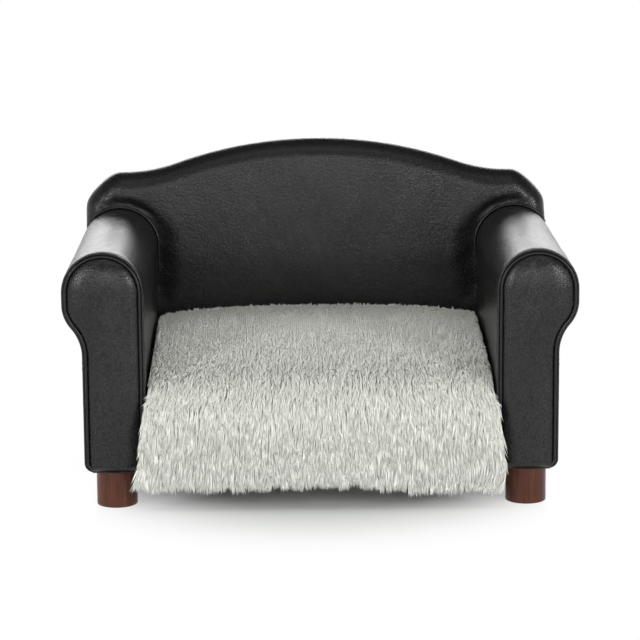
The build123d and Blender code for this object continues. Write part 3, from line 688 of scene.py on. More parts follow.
def staples():
    """Wire staples along the edges of the underside cloth"""
    crown, wire, margin, pitch = 0.0095, 0.0006, 0.006, 0.030
    places = []
    for x in np.arange(dust_low.x + 0.02, dust_high.x - 0.01, pitch):
        places += [(x, dust_low.y + margin, 0.0), (x, dust_high.y - margin, 0.0)]
    for y in np.arange(dust_low.y + 0.03, dust_high.y - 0.01, pitch):
        places += [(dust_low.x + margin, y, 90.0), (dust_high.x - margin, y, 90.0)]
    half = [(-0.5, 0.0003), (-0.47, -0.0004), (-0.4, -0.0006)]
    shape = half + [(-share, drop) for share, drop in half[::-1]]
    points, faces = [], []
    for x, y, turn in places:
        turn = radians(turn + rng.uniform(-9, 9))
        along = np.array((cos(turn), sin(turn), 0))
        across = np.array((-sin(turn), cos(turn), 0))
        start = len(points)
        for share, drop in shape:
            middle = np.array((x, y, dust_low.z + drop)) + along * share * crown
            for a, b in ((-1, -1), (1, -1), (1, 1), (-1, 1)):
                points.append(middle + across * a * wire / 2 + np.array((0, 0, b * wire / 3)))
        faces += [tuple(start + k for k in face) for face in grid_faces(len(shape), 4, ring=True)]
        faces += [tuple(range(start, start + 4)), tuple(range(len(points) - 4, len(points)))]
    return face_outward(new_object("underside_staples", points, faces))


def pile_half_width(y, z):
    """Half the width of the pile: between the arms, and wider in front of them"""
    middle = (cushion_front + cushion_rear) / 2
    half_depth = (cushion_rear - cushion_front) / 2
    between = cushion_x - drawn_in * np.clip(1 - ((y - middle) / half_depth) ** 2, 0, 1)
    hang = np.clip((apron_top_z - z) / apron_height, 0, 1)
    apron = apron_top_x + (apron_hem_x - apron_top_x) * hang
    ahead = smooth_step(-y, 0.205, 0.219)
    return between + (apron - between) * ahead


def hem_drop(x):
    """How much lower the hem hangs on the left, and still more on the right"""
    return left_hem_drop * smooth_step(-x, 0.03, 0.10) + right_hem_drop * smooth_step(x, 0.04, 0.12)


def pile_section(x, run):
    """y and z of the mean face of the pile, this far across and along its section"""
    spread = np.clip(np.abs(x) / cushion_x, 0, 1)
    edge_z = shag_mid_z + edge_height
    rise = crown_height * (1 - (1 - crown_edge_share) * spread**3)
    rear_z, front_z = edge_z + rise * crown_rear_share, edge_z + rise * crown_front_share
    peak_y = cushion_rear + (cushion_front - cushion_rear) * crown_peak_share
    fold = cushion_front + fold_depth * (1 - np.cos(6 * np.pi * x / apron_hem_x)) / 2
    foot = front_z - fall_height
    rear, corner, across, fall, hang = (
        (run - start) / length for start, length in zip([0, *run_ends], run_lengths)
    )
    corner, fall = corner * np.pi / 2, fall * np.pi / 2
    y_first, y_last = cushion_rear - rear_corner, fold + fall_depth
    y_top = y_first + (y_last - y_first) * across
    # The top is a parabola through its rear edge, its peak and its front edge
    first = rear_z * (y_top - peak_y) * (y_top - y_last) / ((y_first - peak_y) * (y_first - y_last))
    second = (edge_z + rise) * (y_top - y_first) * (y_top - y_last) / ((peak_y - y_first) * (peak_y - y_last))
    third = front_z * (y_top - y_first) * (y_top - peak_y) / ((y_last - y_first) * (y_last - peak_y))
    stretches = [run <= end for end in run_ends[:-1]]
    y = np.select(stretches, [
        np.full_like(run, cushion_rear),
        cushion_rear - rear_corner * (1 - np.cos(corner)),
        y_top,
        fold + fall_depth * (1 - np.sin(fall)),
    ], fold)
    z = np.select(stretches, [
        shag_mid_z + (rear_z - rear_corner - shag_mid_z) * rear,
        rear_z - rear_corner * (1 - np.sin(corner)),
        first + second + third,
        front_z - fall_height * (1 - np.cos(fall)),
    ], foot + (hem_z - 0.8 * hem_drop(x) - foot) * hang)
    return y, z


def pile_grid():
    """Points, outward normals and downhill directions of the pile's mean face"""
    run = np.linspace(0, pile_run, pile_rows)[:, None] * np.ones(pile_columns)
    share = np.linspace(-1, 1, pile_columns)[None, :] * np.ones((pile_rows, 1))
    x = share * cushion_x
    for _ in range(3):
        y, z = pile_section(x, run)
        x = share * pile_half_width(y, z)
    y, z = blurred(y, 70), blurred(z, 70)
    x = x - hem_corner_tuck * smooth_step(share, 0.55, 1.0) * (1 - smooth_step(z, 0.020, 0.050))
    past = np.clip(np.abs(x) - (pile_half_width(y, z) - side_round), 0, side_round)
    drop = side_round - np.sqrt(side_round**2 - past**2)
    on_top = smooth_step(y, -0.222, -0.200)
    z = z - drop * 0.75 * on_top * smooth_step(run, run_ends[0], run_ends[0] + 0.03)
    y = y + drop * 0.45 * (1 - on_top)
    points = np.stack((x, y, z), axis=2)
    down = unit(np.gradient(points, axis=0))
    normal = unit(np.cross(np.gradient(points, axis=1), down))
    if normal[pile_rows // 2, pile_columns // 2, 2] < 0:
        normal = -normal
    return points, normal, down, run, share


def pile_depth(run):
    """How deep the knitted ground lies under the mean face of the pile"""
    low_down = smooth_step(run, run_ends[2] - 0.05, pile_run)
    return ground_depth + ground_more_depth * low_down


def cushion_form(grid):
    """Knitted ground of the shag cover, closed round the foam and along the apron"""
    points, normal, _, run, share = grid
    limit = cushion_x - 0.003
    x, y, z = np.moveaxis(points - normal * pile_depth(run)[:, :, None], 2, 0)
    inside = y > apron_rear
    x = np.clip(x, -apron_hem_x, apron_hem_x)
    x = np.where(inside, np.clip(x, -limit, limit), x)
    y = np.minimum(y, cushion_rear - 0.0035)
    z = np.where(inside, np.maximum(z, shag_mid_z + 0.001), z)
    rows = list(np.stack((x, y, z), axis=2))
    edge_x, _, edge_z = rows[-1].T
    for t in np.linspace(0, 1, 12)[1:]:
        narrower = 1 + (limit / apron_hem_x - 1) * t * 0.8
        climbed = edge_z + (shag_mid_z + 0.003 - edge_z) * t
        rows.append(np.column_stack((edge_x * narrower, np.full(pile_columns, apron_rear), climbed)))
    for t in np.linspace(0, 1, 20)[1:-1]:
        place = apron_rear + 0.008 + (cushion_rear - 0.012 - apron_rear) * t, shag_mid_z + 0.0012
        rows.append(np.column_stack((share[0] * limit, np.full((pile_columns, 2), place))))
    rings = np.array(rows).transpose(1, 0, 2)
    return closed_form("cushion_ground", rings.reshape(-1, 3), *rings.shape[:2])


def looked_up(table, rows, columns):
    """Values of a grid between its points"""
    i = np.clip(rows.astype(int), 0, table.shape[0] - 2)
    j = np.clip(columns.astype(int), 0, table.shape[1] - 2)
    a, b = (rows - i)[:, None], (columns - j)[:, None]
    first = table[i, j] * (1 - b) + table[i, j + 1] * b
    last = table[i + 1, j] * (1 - b) + table[i + 1, j + 1] * b
    return first * (1 - a) + last * a


def strand_seeds(spacing):
    """Jittered places of the strands: run along the section, and share of its width"""
    count = int(2 * cushion_x / spacing)
    seeds = []
    for k, run in enumerate(np.arange(spacing, pile_run, spacing)):
        shares = (np.arange(count) + 0.5 * (k % 2) + 0.25) / count * 2 - 1
        shares = shares + rng.uniform(-0.42, 0.42, count) * 2 / count
        runs = run + rng.uniform(-0.45, 0.45, count) * spacing
        seeds.append(np.column_stack((runs, np.clip(shares, -1, 1))))
    hem = rng.uniform((pile_run - 0.004, -1), (pile_run, 1), (520, 2))
    return np.vstack(seeds + [hem])


def hashed(first, second, seed):
    """Fixed values from 0 to 1 for pairs of cell numbers"""
    code = np.sin(first * 127.1 + second * 311.7 + seed * 74.7) * 43758.5453
    return code - np.floor(code)


def clump_pull(run, across, tall, wide):
    """Way from each strand to the middle of its clump, along and across"""
    column = np.floor(across / wide)
    shift = hashed(column, 0, 3.0)
    row = np.floor(run / tall + shift)
    one, two = hashed(row, column, 0.0), hashed(row, column, 1.0)
    middle_run = (row + 0.5 - shift) * tall
    middle_across = (column + 0.5 + 0.5 * (two - 0.5)) * wide
    return middle_run - run, middle_across - across, one, two


def strands(grid, seeds):
    """Rings of every strand of the pile, and its tone; the last ring is its tip"""
    run, share = np.clip(seeds[:, 0], 0, pile_run), seeds[:, 1]
    columns = (share + 1) / 2 * (pile_columns - 1)
    count = len(run)

    def on_face(at):
        rows = np.clip(at, 0, pile_run) / pile_run * (pile_rows - 1)
        face, up, fall = (looked_up(table, rows, columns) for table in grid[:3])
        up, fall = unit(up), unit(fall)
        return face + fall * np.maximum(at - pile_run, 0)[:, None], up, fall

    # Clumps, which are shorter and wider where the pile hangs over the front
    face = on_face(run)[0]
    hanging = smooth_step(run, run_ends[1] + 0.10, run_ends[3] - 0.01)
    flat_pull = clump_pull(run, face[:, 0], *flat_clump)
    hung_pull = clump_pull(run, face[:, 0], *hung_clump)
    lower = hanging > hashed(np.floor(face[:, 0] / hung_clump[1]), np.floor(run / 0.011), 5.0)
    along_pull, across_pull, clump_one, clump_two = (
        np.where(lower, hung, flat) for hung, flat in zip(hung_pull, flat_pull)
    )
    wide_pull = clump_pull(run + 0.003, face[:, 0] + 0.002, *wide_clump)
    # How long the strands are, and how far they stand off, lean downhill and sway
    at_rear = 1 - smooth_step(run, run_ends[0] * 0.7, run_ends[1] + 0.01)
    at_side = smooth_step(np.abs(share), 0.965, 1.0)
    length = strand_length + 0.0070 * hanging - 0.0070 * at_rear
    length = length * rng.uniform(0.82, 1.14, count) * (0.84 + 0.32 * clump_one)
    stand = 0.17 + 0.08 * hanging + 0.16 * bell(run - run_ends[0], 0.022) * clump_one
    stand = stand + (0.06 + 0.07 * hanging) * (clump_two - 0.5) + rng.normal(0, 0.025, count)
    lean = 0.90 + 0.12 * (clump_one - 0.5)
    sway = 0.26 * (clump_two - 0.5) + 0.12 * (wide_pull[2] - 0.5) + rng.normal(0, 0.08, count)
    sway = sway * (0.18 + 0.72 * hanging)
    # The apron's outer strands flare near the hem, less on the right
    low_down = smooth_step(run, run_ends[3] + 0.010, pile_run)
    flare = np.where(share > 0, 0.10, 0.36)
    outward_x = at_side * np.sign(share) * hanging * (0.02 + flare * low_down * (0.4 + wide_pull[3]))
    inward_x = np.sign(share) * at_side * (1 - hanging) * 0.06
    # Rings up each strand, drawn toward the middle of its clump
    stages = np.array([0.0, 0.34, 0.68, 1.0])
    rings = np.zeros((count, len(stages), 3))
    for k, s in enumerate(stages):
        rise = stand * (1.30 * s - 0.30 * s * s) * length
        rise -= (pile_depth(run) + 0.001) * (1 - 0.6 * hanging * s)
        middle, up, fall = on_face(run + lean * s**1.1 * length)
        up[:, 0] *= 1 - 0.8 * hanging
        middle = middle + up * rise[:, None] + np.cross(fall, up) * (sway * s**1.4 * length)[:, None]
        pull, wide = (0.50 + 0.16 * hanging) * s**1.1, 0.04 * s**1.5
        middle = middle + fall * (along_pull * pull * 0.35 * hanging + wide_pull[0] * wide)[:, None]
        middle[:, 0] += across_pull * pull + wide_pull[1] * wide + (outward_x + inward_x) * s * length
        rings[:, k] = middle
    # In front, the strands keep between the arms' pads and end at the hem
    root = rings[:, :1]
    x, y, z = np.moveaxis(rings, 2, 0)
    wing = 0.0066 * (1 - smooth_step(z, 0.141, 0.158)) + 0.05 * (1 - smooth_step(z, 0.10, 0.13))
    bound = inner_x - 0.0014 + wing + (0.0016 * (clump_two - 0.5))[:, None]
    x[:] = np.where(y < front_strand_y, np.clip(x, -bound, bound), x)
    tips = z[:, -1]
    floor = hem_tip_z - hem_drop(x[:, 0]) + 0.0070 * wide_pull[2] + 0.0040 * clump_one
    shorter = np.clip((z[:, 0] - floor) / np.maximum(z[:, 0] - tips, 1e-6), 0.25, 1)
    scale = np.where((tips < floor) & (y[:, 0] < apron_rear), shorter, 1)
    return root + (rings - root) * scale[:, None, None], clump_one


def keep_clear(rings):
    """Bends strands clear of the arms, the back, the seat and the front pads"""
    x, y, z = np.moveaxis(rings, 2, 0)
    limit = inner_x - side_clearance - 0.0009
    soft = limit_softness
    over = np.abs(x) - (limit - soft)
    beside = (y > seam_y - 0.0065) & (over > 0)
    x[:] = np.where(beside, np.sign(x) * (limit - soft * np.exp(-np.maximum(over, 0) / soft)), x)
    outside = (np.abs(x) > inner_x - 0.001) & (y > apron_rear - 0.001)
    y[:] = np.where(outside, apron_rear - 0.001, y)
    y[:] = np.where(y > rear_limit, rear_limit + soft * np.tanh((y - rear_limit) / soft), y)
    z[:] = np.where(y > apron_rear, np.maximum(z, seat_high.z + 0.0012), z)


def strand_mesh(name, rings, tone, width):
    """Three-sided tapering strands as one mesh, with their share of the length and tone"""
    count, stages = rings.shape[:2]
    along = unit(np.gradient(rings, axis=1))
    side = unit(np.cross(along, np.array((0.37, -0.55, 0.75))))
    other = np.cross(along, side)
    start = rng.uniform(0, 2 * np.pi, count)
    last = 3 * (stages - 1)
    points = np.zeros((count, last + 1, 3))
    for k, taper in enumerate((0.80, 1.0, 0.66)):
        reach = (width * taper)[:, None]
        for j in range(3):
            turn = (start + j * 2 * np.pi / 3)[:, None]
            spoke = np.cos(turn) * side[:, k] + np.sin(turn) * other[:, k]
            points[:, 3 * k + j] = rings[:, k] + reach * spoke
    points[:, -1] = rings[:, -1]
    offsets = np.arange(count)[:, None, None] * (last + 1)
    quads = (np.array(grid_faces(stages - 1, 3, ring=True))[None] + offsets).reshape(-1, 4)
    triangles = [(0, 2, 1)] + [(last - 3 + j, last - 3 + (j + 1) % 3, last) for j in range(3)]
    triangles = (np.array(triangles)[None] + offsets).reshape(-1, 3)
    mesh = bpy.data.meshes.new(name)
    mesh.vertices.add(count * (last + 1))
    mesh.vertices.foreach_set("co", points.astype(np.float32).ravel())
    corners = np.concatenate([quads.ravel(), triangles.ravel()])
    mesh.loops.add(len(corners))
    mesh.loops.foreach_set("vertex_index", corners.astype(np.int32))
    totals = np.concatenate([np.full(len(quads), 4), np.full(len(triangles), 3)])
    starts = np.concatenate([[0], np.cumsum(totals)[:-1]])
    mesh.polygons.add(len(totals))
    mesh.polygons.foreach_set("loop_start", starts.astype(np.int32))
    mesh.polygons.foreach_set("loop_total", totals.astype(np.int32))
    mesh.polygons.foreach_set("use_smooth", np.ones(len(totals), bool))
    mesh.update(calc_edges=True)
    share = np.concatenate([np.repeat(np.arange(stages - 1) / (stages - 1), 3), [1.0]])
    for kind, values in (("tip", np.tile(share, count)), ("tone", np.repeat(tone, last + 1))):
        attribute = mesh.attributes.new(kind, "FLOAT", "POINT")
        attribute.data.foreach_set("value", values.astype(np.float32))
    return linked(name, mesh)


def shag_pile(grid):
    """The whole pile, cut into pieces across the cushion"""
    seeds = strand_seeds(strand_spacing)
    rings, clump = strands(grid, seeds)
    root = rings[:, 0]
    tape = (np.abs(root[:, 0]) < zip_high.x + 0.002) & (root[:, 1] > cushion_rear - 0.012)
    tape &= root[:, 2] < zip_high.z + 0.001
    rings, clump, seeds = rings[~tape], clump[~tape], seeds[~tape]
    keep_clear(rings)
    tone = np.clip(0.5 + 0.42 * (clump - 0.5) + rng.normal(0, 0.16, len(clump)), 0, 1)
    width = strand_width * rng.uniform(0.75, 1.3, len(clump))
    top = seeds[:, 0] < run_ends[2] - 0.01
    groups = (
        ("apron_left", ~top, -2, 0),
        ("apron_right", ~top, 0, 2),
        ("seat_left", top, -2, -0.5),
        ("seat_middle_left", top, -0.5, 0),
        ("seat_middle_right", top, 0, 0.5),
        ("seat_right", top, 0.5, 2),
    )
    for name, part, low, high in groups:
        chosen = part & (seeds[:, 1] >= low) & (seeds[:, 1] < high)
        piece = strand_mesh(f"pile_{name}", rings[chosen], tone[chosen], width[chosen])
        dress(piece, "cushion", "shag_pile")


class Nodes:
    """The nodes of a material or a world, and short ways to add to them"""

    def __init__(self, owner, shader="Principled BSDF", space="Object"):
        owner.use_nodes = True
        self.owner, self.tree = owner, owner.node_tree
        self.shader = self.tree.nodes[shader]
        self.coordinates = self.add("TexCoord", space)

    def link(self, value, socket):
        if isinstance(value, bpy.types.NodeSocket):
            self.tree.links.new(value, socket)
        else:
            socket.default_value = value

    def add(self, kind, output=0, **values):
        """One output of a new node, whose inputs and settings get these values"""
        node = self.tree.nodes.new("ShaderNode" + kind)
        for key, value in values.items():
            socket = node.inputs.get(key.replace("_", " "))
            if socket is None:
                setattr(node, key, value)
            else:
                self.link(value, socket)
        return node.outputs[output]

    def math(self, operation, *values, kind="Math", output=0):
        node = self.add(kind, operation=operation).node
        for value, socket in zip(values, node.inputs):
            self.link(value, socket)
        return node.outputs[output]

    def plus(self, first, second):
        return self.math("ADD", first, second)

    def times(self, first, second):
        return self.math("MULTIPLY", first, second)

    def spread(self, value, low, high, to_low=0.0, to_high=1.0, **settings):
        limits = {"From_Min": low, "From_Max": high, "To_Min": to_low, "To_Max": to_high}
        return self.add("MapRange", Value=value, **limits, **settings)

    def stretched(self, scale):
        return self.add("Mapping", Vector=self.coordinates, Scale=scale)

    def noise(self, scale, detail=3.0, roughness=0.55, vector=None):
        vector = vector or self.coordinates
        return self.add("TexNoise", "Fac", Vector=vector, Scale=scale, Detail=detail, Roughness=roughness)

    def cells(self, scale, feature="F1", vector=None):
        vector = vector or self.coordinates
        return self.add("TexVoronoi", "Distance", feature=feature, Vector=vector, Scale=scale)

    def ramp(self, value, *stops):
        node = self.add("ValToRGB", Fac=value).node
        elements = node.color_ramp.elements
        while len(elements) < len(stops):
            elements.new(0.5)
        for element, (place, colour) in zip(elements, stops):
            element.position = place
            element.color = (*colour, 1.0)
        return node.outputs["Color"]

    def mix(self, factor, first, second, blend="MIX"):
        node = self.add("Mix", data_type="RGBA", blend_type=blend).node
        for value, k in ((factor, 0), (first, 6), (second, 7)):
            self.link((*value, 1.0) if isinstance(value, tuple) else value, node.inputs[k])
        return node.outputs[2]

    def bump(self, height, strength, distance, **before):
        return self.add("Bump", Height=height, Strength=strength, Distance=distance, **before)

    def finish(self, colour, roughness, **others):
        """The material, with these values or links at its shader's inputs"""
        for key, value in {"Base_Color": colour, "Roughness": roughness, **others}.items():
            self.link(value, self.shader.inputs[key.replace("_", " ")])
        return self.owner

    def seen(self):
        """1 for rays from the camera, straight, mirrored or through glass, and 0 for the rest"""
        ray = self.add("LightPath").node.outputs
        seen = self.math("MAXIMUM", ray["Is Camera Ray"], ray["Is Glossy Ray"])
        return self.math("MAXIMUM", seen, ray["Is Transmission Ray"])

    def fade(self, share, shader, output):
        """Shows another shader in place of the main one, by this share"""
        node = self.add("MixShader").node
        for value, socket in zip((share, self.shader.outputs[0], shader), node.inputs):
            self.link(value, socket)
        self.link(node.outputs[0], self.tree.nodes[output].inputs["Surface"])


def new_material(name):
    return Nodes(bpy.data.materials.new(name))


def leather(name, grain_size, grain_strength, low_rough, high_rough, painted_sheen):
    """Black grained faux leather: soft pebbles of two sizes, pores and slight drag lines, with painted shade
    in the grain's valleys and painted sheen on its pebbles
    """
    n = new_material(name)
    warp = n.noise(1 / (grain_size * 3.5), 2.0)
    lean = n.add("CombineXYZ", X=n.times(warp, grain_size), Z=n.times(warp, -grain_size))
    bent = n.math("ADD", n.coordinates, lean, kind="VectorMath")
    large = n.cells(1 / grain_size, "F1", bent)
    small = n.cells(1 / (grain_size * 0.55), "F1", bent)
    valleys = n.cells(1 / grain_size, "DISTANCE_TO_EDGE", bent)
    dome = n.math("SUBTRACT", 1.0, n.math("POWER", large, 1.8))
    grain = n.plus(n.times(dome, 0.7), n.times(n.math("SUBTRACT", 1.0, small), 0.3))
    grain = n.plus(grain, n.spread(valleys, 0.0, 0.14, -0.25, 0.0))
    depth = n.times(grain, n.spread(n.noise(16.0, 2.0), 0.35, 0.65, 0.75, 1.20))
    drag = n.noise(30.0, 3.0, 0.5, n.stretched((1.0, 1.0, 0.7)))
    normal = n.bump(drag, 0.09, 0.0012)
    normal = n.bump(depth, grain_strength, grain_size * 0.10, Normal=normal)
    worn = n.noise(9.0, 4.0)
    # Painted shade in the grain's valleys and painted sheen on the pebbles' tops, mixed with some wear
    colour = n.ramp(
        n.plus(n.times(grain, 0.85), n.times(worn, 0.30)),
        (0.42, (0.0030, 0.0029, 0.0031)),
        (0.74, (painted_sheen * 0.6, painted_sheen * 0.59, painted_sheen * 0.6)),
        (0.95, (painted_sheen, painted_sheen * 0.99, painted_sheen)),
    )
    rough = n.spread(n.math("SUBTRACT", worn, n.times(grain, 0.3)), 0.1, 0.6, low_rough, high_rough)
    return n.finish(colour, rough, Normal=normal, Specular_IOR_Level=0.33)


def stained_wood():
    """Turned leg: dark red stain over upright grain, under clear lacquer"""
    n = new_material("leg_wood")
    upright_grain = n.stretched((1.0, 1.0, 0.06))
    rings = n.noise(260.0, 5.0, 0.6, upright_grain)
    streaks = n.noise(900.0, 2.0, 0.5, upright_grain)
    cloudy = n.noise(30.0, 3.0)
    tone = n.plus(n.plus(n.times(rings, 0.6), n.times(streaks, 0.25)), n.times(cloudy, 0.2))
    colour = n.ramp(
        tone,
        (0.30, (0.026, 0.0064, 0.0028)),
        (0.52, (0.068, 0.0165, 0.0066)),
        (0.75, (0.126, 0.0370, 0.0150)),
    )
    lacquer = {"Specular_IOR_Level": 0.28, "Coat_Weight": 0.05, "Coat_Roughness": 0.15}
    normal = n.bump(n.plus(rings, streaks), 0.18, 0.0003)
    return n.finish(colour, n.spread(cloudy, 0.3, 0.7, 0.30, 0.42), Normal=normal, **lacquer)


def raw_wood():
    n = new_material("frame_wood")
    rings = n.noise(120.0, 4.0, 0.6, n.stretched((0.12, 0.12, 1.0)))
    colour = n.ramp(rings, (0.3, (0.42, 0.27, 0.14)), (0.7, (0.62, 0.45, 0.27)))
    return n.finish(colour, n.spread(rings, 0.2, 0.8, 0.6, 0.8), Normal=n.bump(rings, 0.3, 0.0004))


def card():
    n = new_material("former_card")
    fibres = n.noise(420.0, 4.0, 0.7)
    colour = n.ramp(fibres, (0.3, (0.26, 0.17, 0.095)), (0.7, (0.36, 0.25, 0.15)))
    return n.finish(colour, n.spread(fibres, 0.2, 0.8, 0.8, 0.95), Normal=n.bump(fibres, 0.3, 0.0003))


def foam():
    n = new_material("foam")
    cloudy = n.noise(60.0, 3.0)
    colour = n.ramp(cloudy, (0.3, (0.70, 0.62, 0.40)), (0.7, (0.78, 0.71, 0.50)))
    normal = n.bump(n.cells(900.0), 0.5, 0.0005)
    return n.finish(colour, n.spread(cloudy, 0.2, 0.8, 0.85, 0.95), Normal=normal)


def steel(name, low, high, rough):
    n = new_material(name)
    cloudy = n.noise(180.0, 4.0)
    scratches = n.noise(700.0, 2.0, 0.5, n.stretched((1.0, 0.1, 0.1)))
    colour = n.ramp(cloudy, (0.3, (low, low, low * 0.97)), (0.7, (high, high, high * 0.98)))
    roughness = n.spread(n.plus(cloudy, scratches), 0.6, 1.4, rough * 0.8, rough * 1.25)
    return n.finish(colour, roughness, Normal=n.bump(scratches, 0.12, 0.0001), Metallic=1.0)


def woven(name, dark, light, thread):
    """Plain woven cloth with this distance between its threads"""
    n = new_material(name)
    axes = n.add("SeparateXYZ", Vector=n.coordinates).node.outputs
    warp, weft, drop = (n.math("SINE", n.times(axis, 6.2832 / thread)) for axis in axes)
    weave = n.plus(n.times(warp, weft), n.times(warp, drop))
    fuzz = n.noise(700.0, 3.0)
    colour = n.ramp(n.plus(n.times(weave, 0.16), fuzz), (0.25, dark), (0.75, light))
    normal = n.bump(weave, 0.35, 0.0003)
    return n.finish(colour, n.spread(fuzz, 0.2, 0.8, 0.8, 0.95), Normal=normal, Sheen_Weight=0.1)


def shag():
    """Pale acrylic pile with uneven strands: painted shade at the root and on the top, and painted light low
    down
    """
    n = new_material("shag_pile")
    tip = n.add("Attribute", "Fac", attribute_name="tip")
    tone = n.add("Attribute", "Fac", attribute_name="tone")
    fibre = n.noise(1500.0, 2.0, 0.6, n.stretched((1.0, 0.4, 0.25)))
    # Painted shade deep in the pile: darker at the root, lighter toward the tip
    length = n.ramp(
        tip,
        (0.0, (0.76, 0.755, 0.70)),
        (0.45, (0.90, 0.90, 0.86)),
        (1.0, (0.95, 0.947, 0.905)),
    )
    cast = n.ramp(
        n.plus(n.times(tone, 0.8), n.times(n.noise(14.0, 3.0), 0.2)),
        (0.2, (0.88, 0.885, 0.85)),
        (0.55, (0.965, 0.965, 0.94)),
        (0.9, (1.0, 0.995, 0.975)),
    )
    colour = n.mix(1.0, length, cast, "MULTIPLY")
    colour = n.mix(n.spread(fibre, 0.35, 0.75, 0.0, 0.18), colour, (0.68, 0.69, 0.63))
    height = n.add("SeparateXYZ", "Z", Vector=n.coordinates)
    # Painted shade: the pile darker on top, where less light falls than on the front
    colour = n.mix(n.spread(height, 0.10, 0.20, 0.0, 0.55), colour, (0.60, 0.61, 0.58))
    # Painted light: the pile lighter low down on the front
    colour = n.mix(n.spread(height, 0.02, 0.13, 0.50, 0.0), colour, (0.95, 0.945, 0.915))
    lustre = {"Specular_IOR_Level": 0.25, "Sheen_Weight": 0.12}
    return n.finish(colour, n.spread(tone, 0.0, 1.0, 0.78, 0.92), Normal=n.bump(fibre, 0.4, 0.0004), **lustre)


def knitted_ground():
    n = new_material("pile_ground")
    knit = n.cells(420.0)
    patch = n.noise(20.0, 3.0)
    tone = n.plus(knit, n.times(patch, 0.4))
    colour = n.ramp(tone, (0.2, (0.56, 0.56, 0.52)), (0.9, (0.74, 0.74, 0.69)))
    return n.finish(colour, n.spread(patch, 0.2, 0.8, 0.85, 0.95), Normal=n.bump(knit, 0.5, 0.0008))


def pale_floor():
    """Pale studio floor: satin near the object, fading to the white background"""
    n = new_material("studio_floor")
    patch = n.noise(3.0, 2.0)
    colour = n.ramp(patch, (0.3, (0.73, 0.74, 0.72)), (0.7, (0.75, 0.755, 0.735)))
    n.finish(colour, n.spread(patch, 0.2, 0.8, 0.20, 0.26))
    oval = n.stretched((1 / 0.37, 1 / 0.44, 1.0))
    distance = n.math("LENGTH", oval, kind="VectorMath", output="Value")
    far = n.spread(distance, 0.46, 1.02, interpolation_type="SMOOTHSTEP")
    n.fade(n.times(far, n.seen()), n.add("Emission", Strength=1.0), "Material Output")
    return n.owner


def white_world():
    """Soft light from all sides, plain white where it is seen, and dimmer above in reflections"""
    world = bpy.data.worlds.new("studio")
    bpy.context.scene.world = world
    n = Nodes(world, "Background", "Generated")
    n.link((0.98, 1.0, 0.99, 1.0), n.shader.inputs["Color"])
    n.link(0.84, n.shader.inputs["Strength"])
    ceiling = n.spread(n.add("SeparateXYZ", "Z", Vector=n.coordinates), 0.22, 0.62, 0.20, 0.88)
    level = n.math("SUBTRACT", 1.0, n.times(ceiling, n.add("LightPath", "Is Glossy Ray")))
    n.fade(n.seen(), n.add("Background", Color=(1.0, 1.0, 1.0, 1.0), Strength=level), "World Output")


def studio():
    """Floor, white world and soft lamps"""
    reach = 40.0
    corners = [(-reach, -reach, 0), (reach, -reach, 0), (reach, reach, 0), (-reach, reach, 0)]
    floor = new_object("floor", corners, [(0, 1, 2, 3)], False)
    floor.data.materials.append(pale_floor())
    white_world()
    # Name, place, aim, width and height, and power in watts
    lamps = (
        ("key", (-2.0, -2.3, 1.0), (0.0, 0.0, 0.15), (0.45, 0.80), 27.0),
        ("fill", (2.0, -2.3, 0.95), (0.0, 0.0, 0.15), (0.45, 0.80), 30.0),
        ("top", (0.0, -1.2, 2.6), (0.0, 0.0, 0.2), (2.6, 1.5), 11.0),
        ("front", (0.0, -3.0, 0.80), (0.0, 0.0, 0.10), (1.8, 0.3), 15.0),
        ("rim_left", (-0.65, 2.3, 1.05), (-0.2, 0.0, 0.3), (1.5, 0.9), 14.0),
        ("rim_right", (0.75, 2.4, 1.0), (0.2, 0.0, 0.3), (1.6, 0.9), 13.0),
    )
    for name, place, aim, sizes, power in lamps:
        light = bpy.data.lights.new(name, "AREA")
        light.shape = "RECTANGLE"
        light.size, light.size_y = sizes
        light.energy = power
        lamp = linked(name, light)
        lamp.location = place
        lamp.rotation_mode = "QUATERNION"
        lamp.rotation_quaternion = (Vector(aim) - Vector(place)).to_track_quat("-Z", "Y")
        lamp.visible_camera = False


def camera():
    """The photograph's view: from the front, a little above"""
    eye = Vector((-0.0381, -3.3776, 0.8481))
    target = Vector((-0.00092, -0.212, 0.2385))
    roll = -0.007
    focal_length, sensor_width = 147.05, 36.0
    ahead = (target - eye).normalized()
    right = ahead.cross(Vector((0, 0, 1))).normalized()
    up = right.cross(ahead)
    right, up = cos(roll) * right + sin(roll) * up, cos(roll) * up - sin(roll) * right
    data = bpy.data.cameras.new("camera")
    data.lens, data.sensor_width = focal_length, sensor_width
    holder = linked("camera", data)
    turn = Matrix((right, up, -ahead)).transposed().to_4x4()
    holder.matrix_world = Matrix.Translation(eye) @ turn
    bpy.context.scene.camera = holder


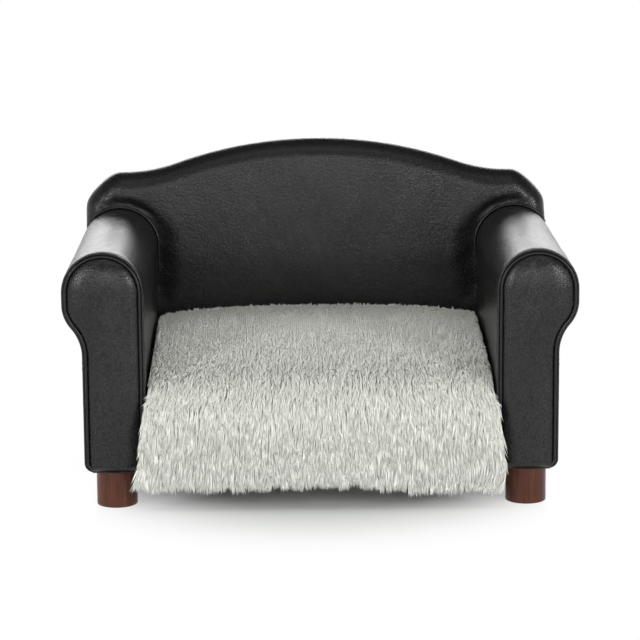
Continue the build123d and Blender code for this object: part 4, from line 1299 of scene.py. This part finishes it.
materials = {
    "black_leather": leather("black_leather", 0.0030, 0.70, 0.25, 0.35, 0.020),
    "piping_leather": leather("piping_leather", 0.0014, 0.4, 0.26, 0.36, 0.015),
    "leg_wood": stained_wood(),
    "frame_wood": raw_wood(),
    "former_card": card(),
    "foam": foam(),
    "zinc_steel": steel("zinc_steel", 0.45, 0.60, 0.35),
    "dust_cloth": woven("dust_cloth", (0.008, 0.008, 0.008), (0.022, 0.022, 0.022), 0.0016),
    "shag_pile": shag(),
    "base_cloth": woven("base_cloth", (0.16, 0.165, 0.155), (0.26, 0.265, 0.25), 0.0011),
    "zip_tape": woven("zip_tape", (0.42, 0.44, 0.40), (0.60, 0.62, 0.57), 0.0010),
    "zip_metal": steel("zip_metal", 0.50, 0.66, 0.28),
}
slot_of = {part["node"]: part["material_slot"] for part in frame["record"]["subparts"]}
for node, piece in frame["nodes"].items():
    piece.data.materials.clear()
    piece.data.materials.append(materials[slot_of[node]])

for name, side in sides:
    shell = arm_shell(name, side)
    dress(shell, "frame", "black_leather", (f"arm_cover_{name}", f"arm_padding_{name}"))
    pad = arm_facing(name, side)
    dress(pad, "frame", "black_leather", (f"arm_front_cover_{name}", f"arm_front_padding_{name}"))
    dress(arm_piping(name, side), "frame", "piping_leather", (f"arm_piping_{name}",))
    dress(back_welt(name, side), "frame", "piping_leather", (f"back_welt_{name}",))

# The back's leather: coarser grain, and half the arms' painted sheen, which paints the back darker
broad = leather("back_leather", 0.0038, 0.66, 0.25, 0.35, 0.010)
pad = dress(back_pad(), "frame", "black_leather", ("inside_back_cover", "back_padding"), broad)
panel, panel_size, panel_area = outside_back()
dress(panel, "frame", "black_leather", ("outside_back_cover",), broad)
deck, deck_size = platform()
dress(deck, "frame", "black_leather", ("platform_cover",))
under = cloth_plate("underside_cloth", dust_low, dust_high, dust_high.z - dust_low.z, (92, 66), dust_sag)
dress(under, "frame", "dust_cloth", ("dust_cover",))
dress(staples(), "frame", "zinc_steel")

grid = pile_grid()
ground = dress(cushion_form(grid), "cushion", "shag_pile", ("shag_cover", "cushion_core"), knitted_ground())
shag_pile(grid)
base = cloth_plate("cushion_underside", pad_low, pad_high, base_thickness, (80, 66), base_sag)
dress(base, "cushion", "base_cloth", ("cushion_base",))

studio()
camera()
bpy.context.scene.view_settings.view_transform = "Standard"
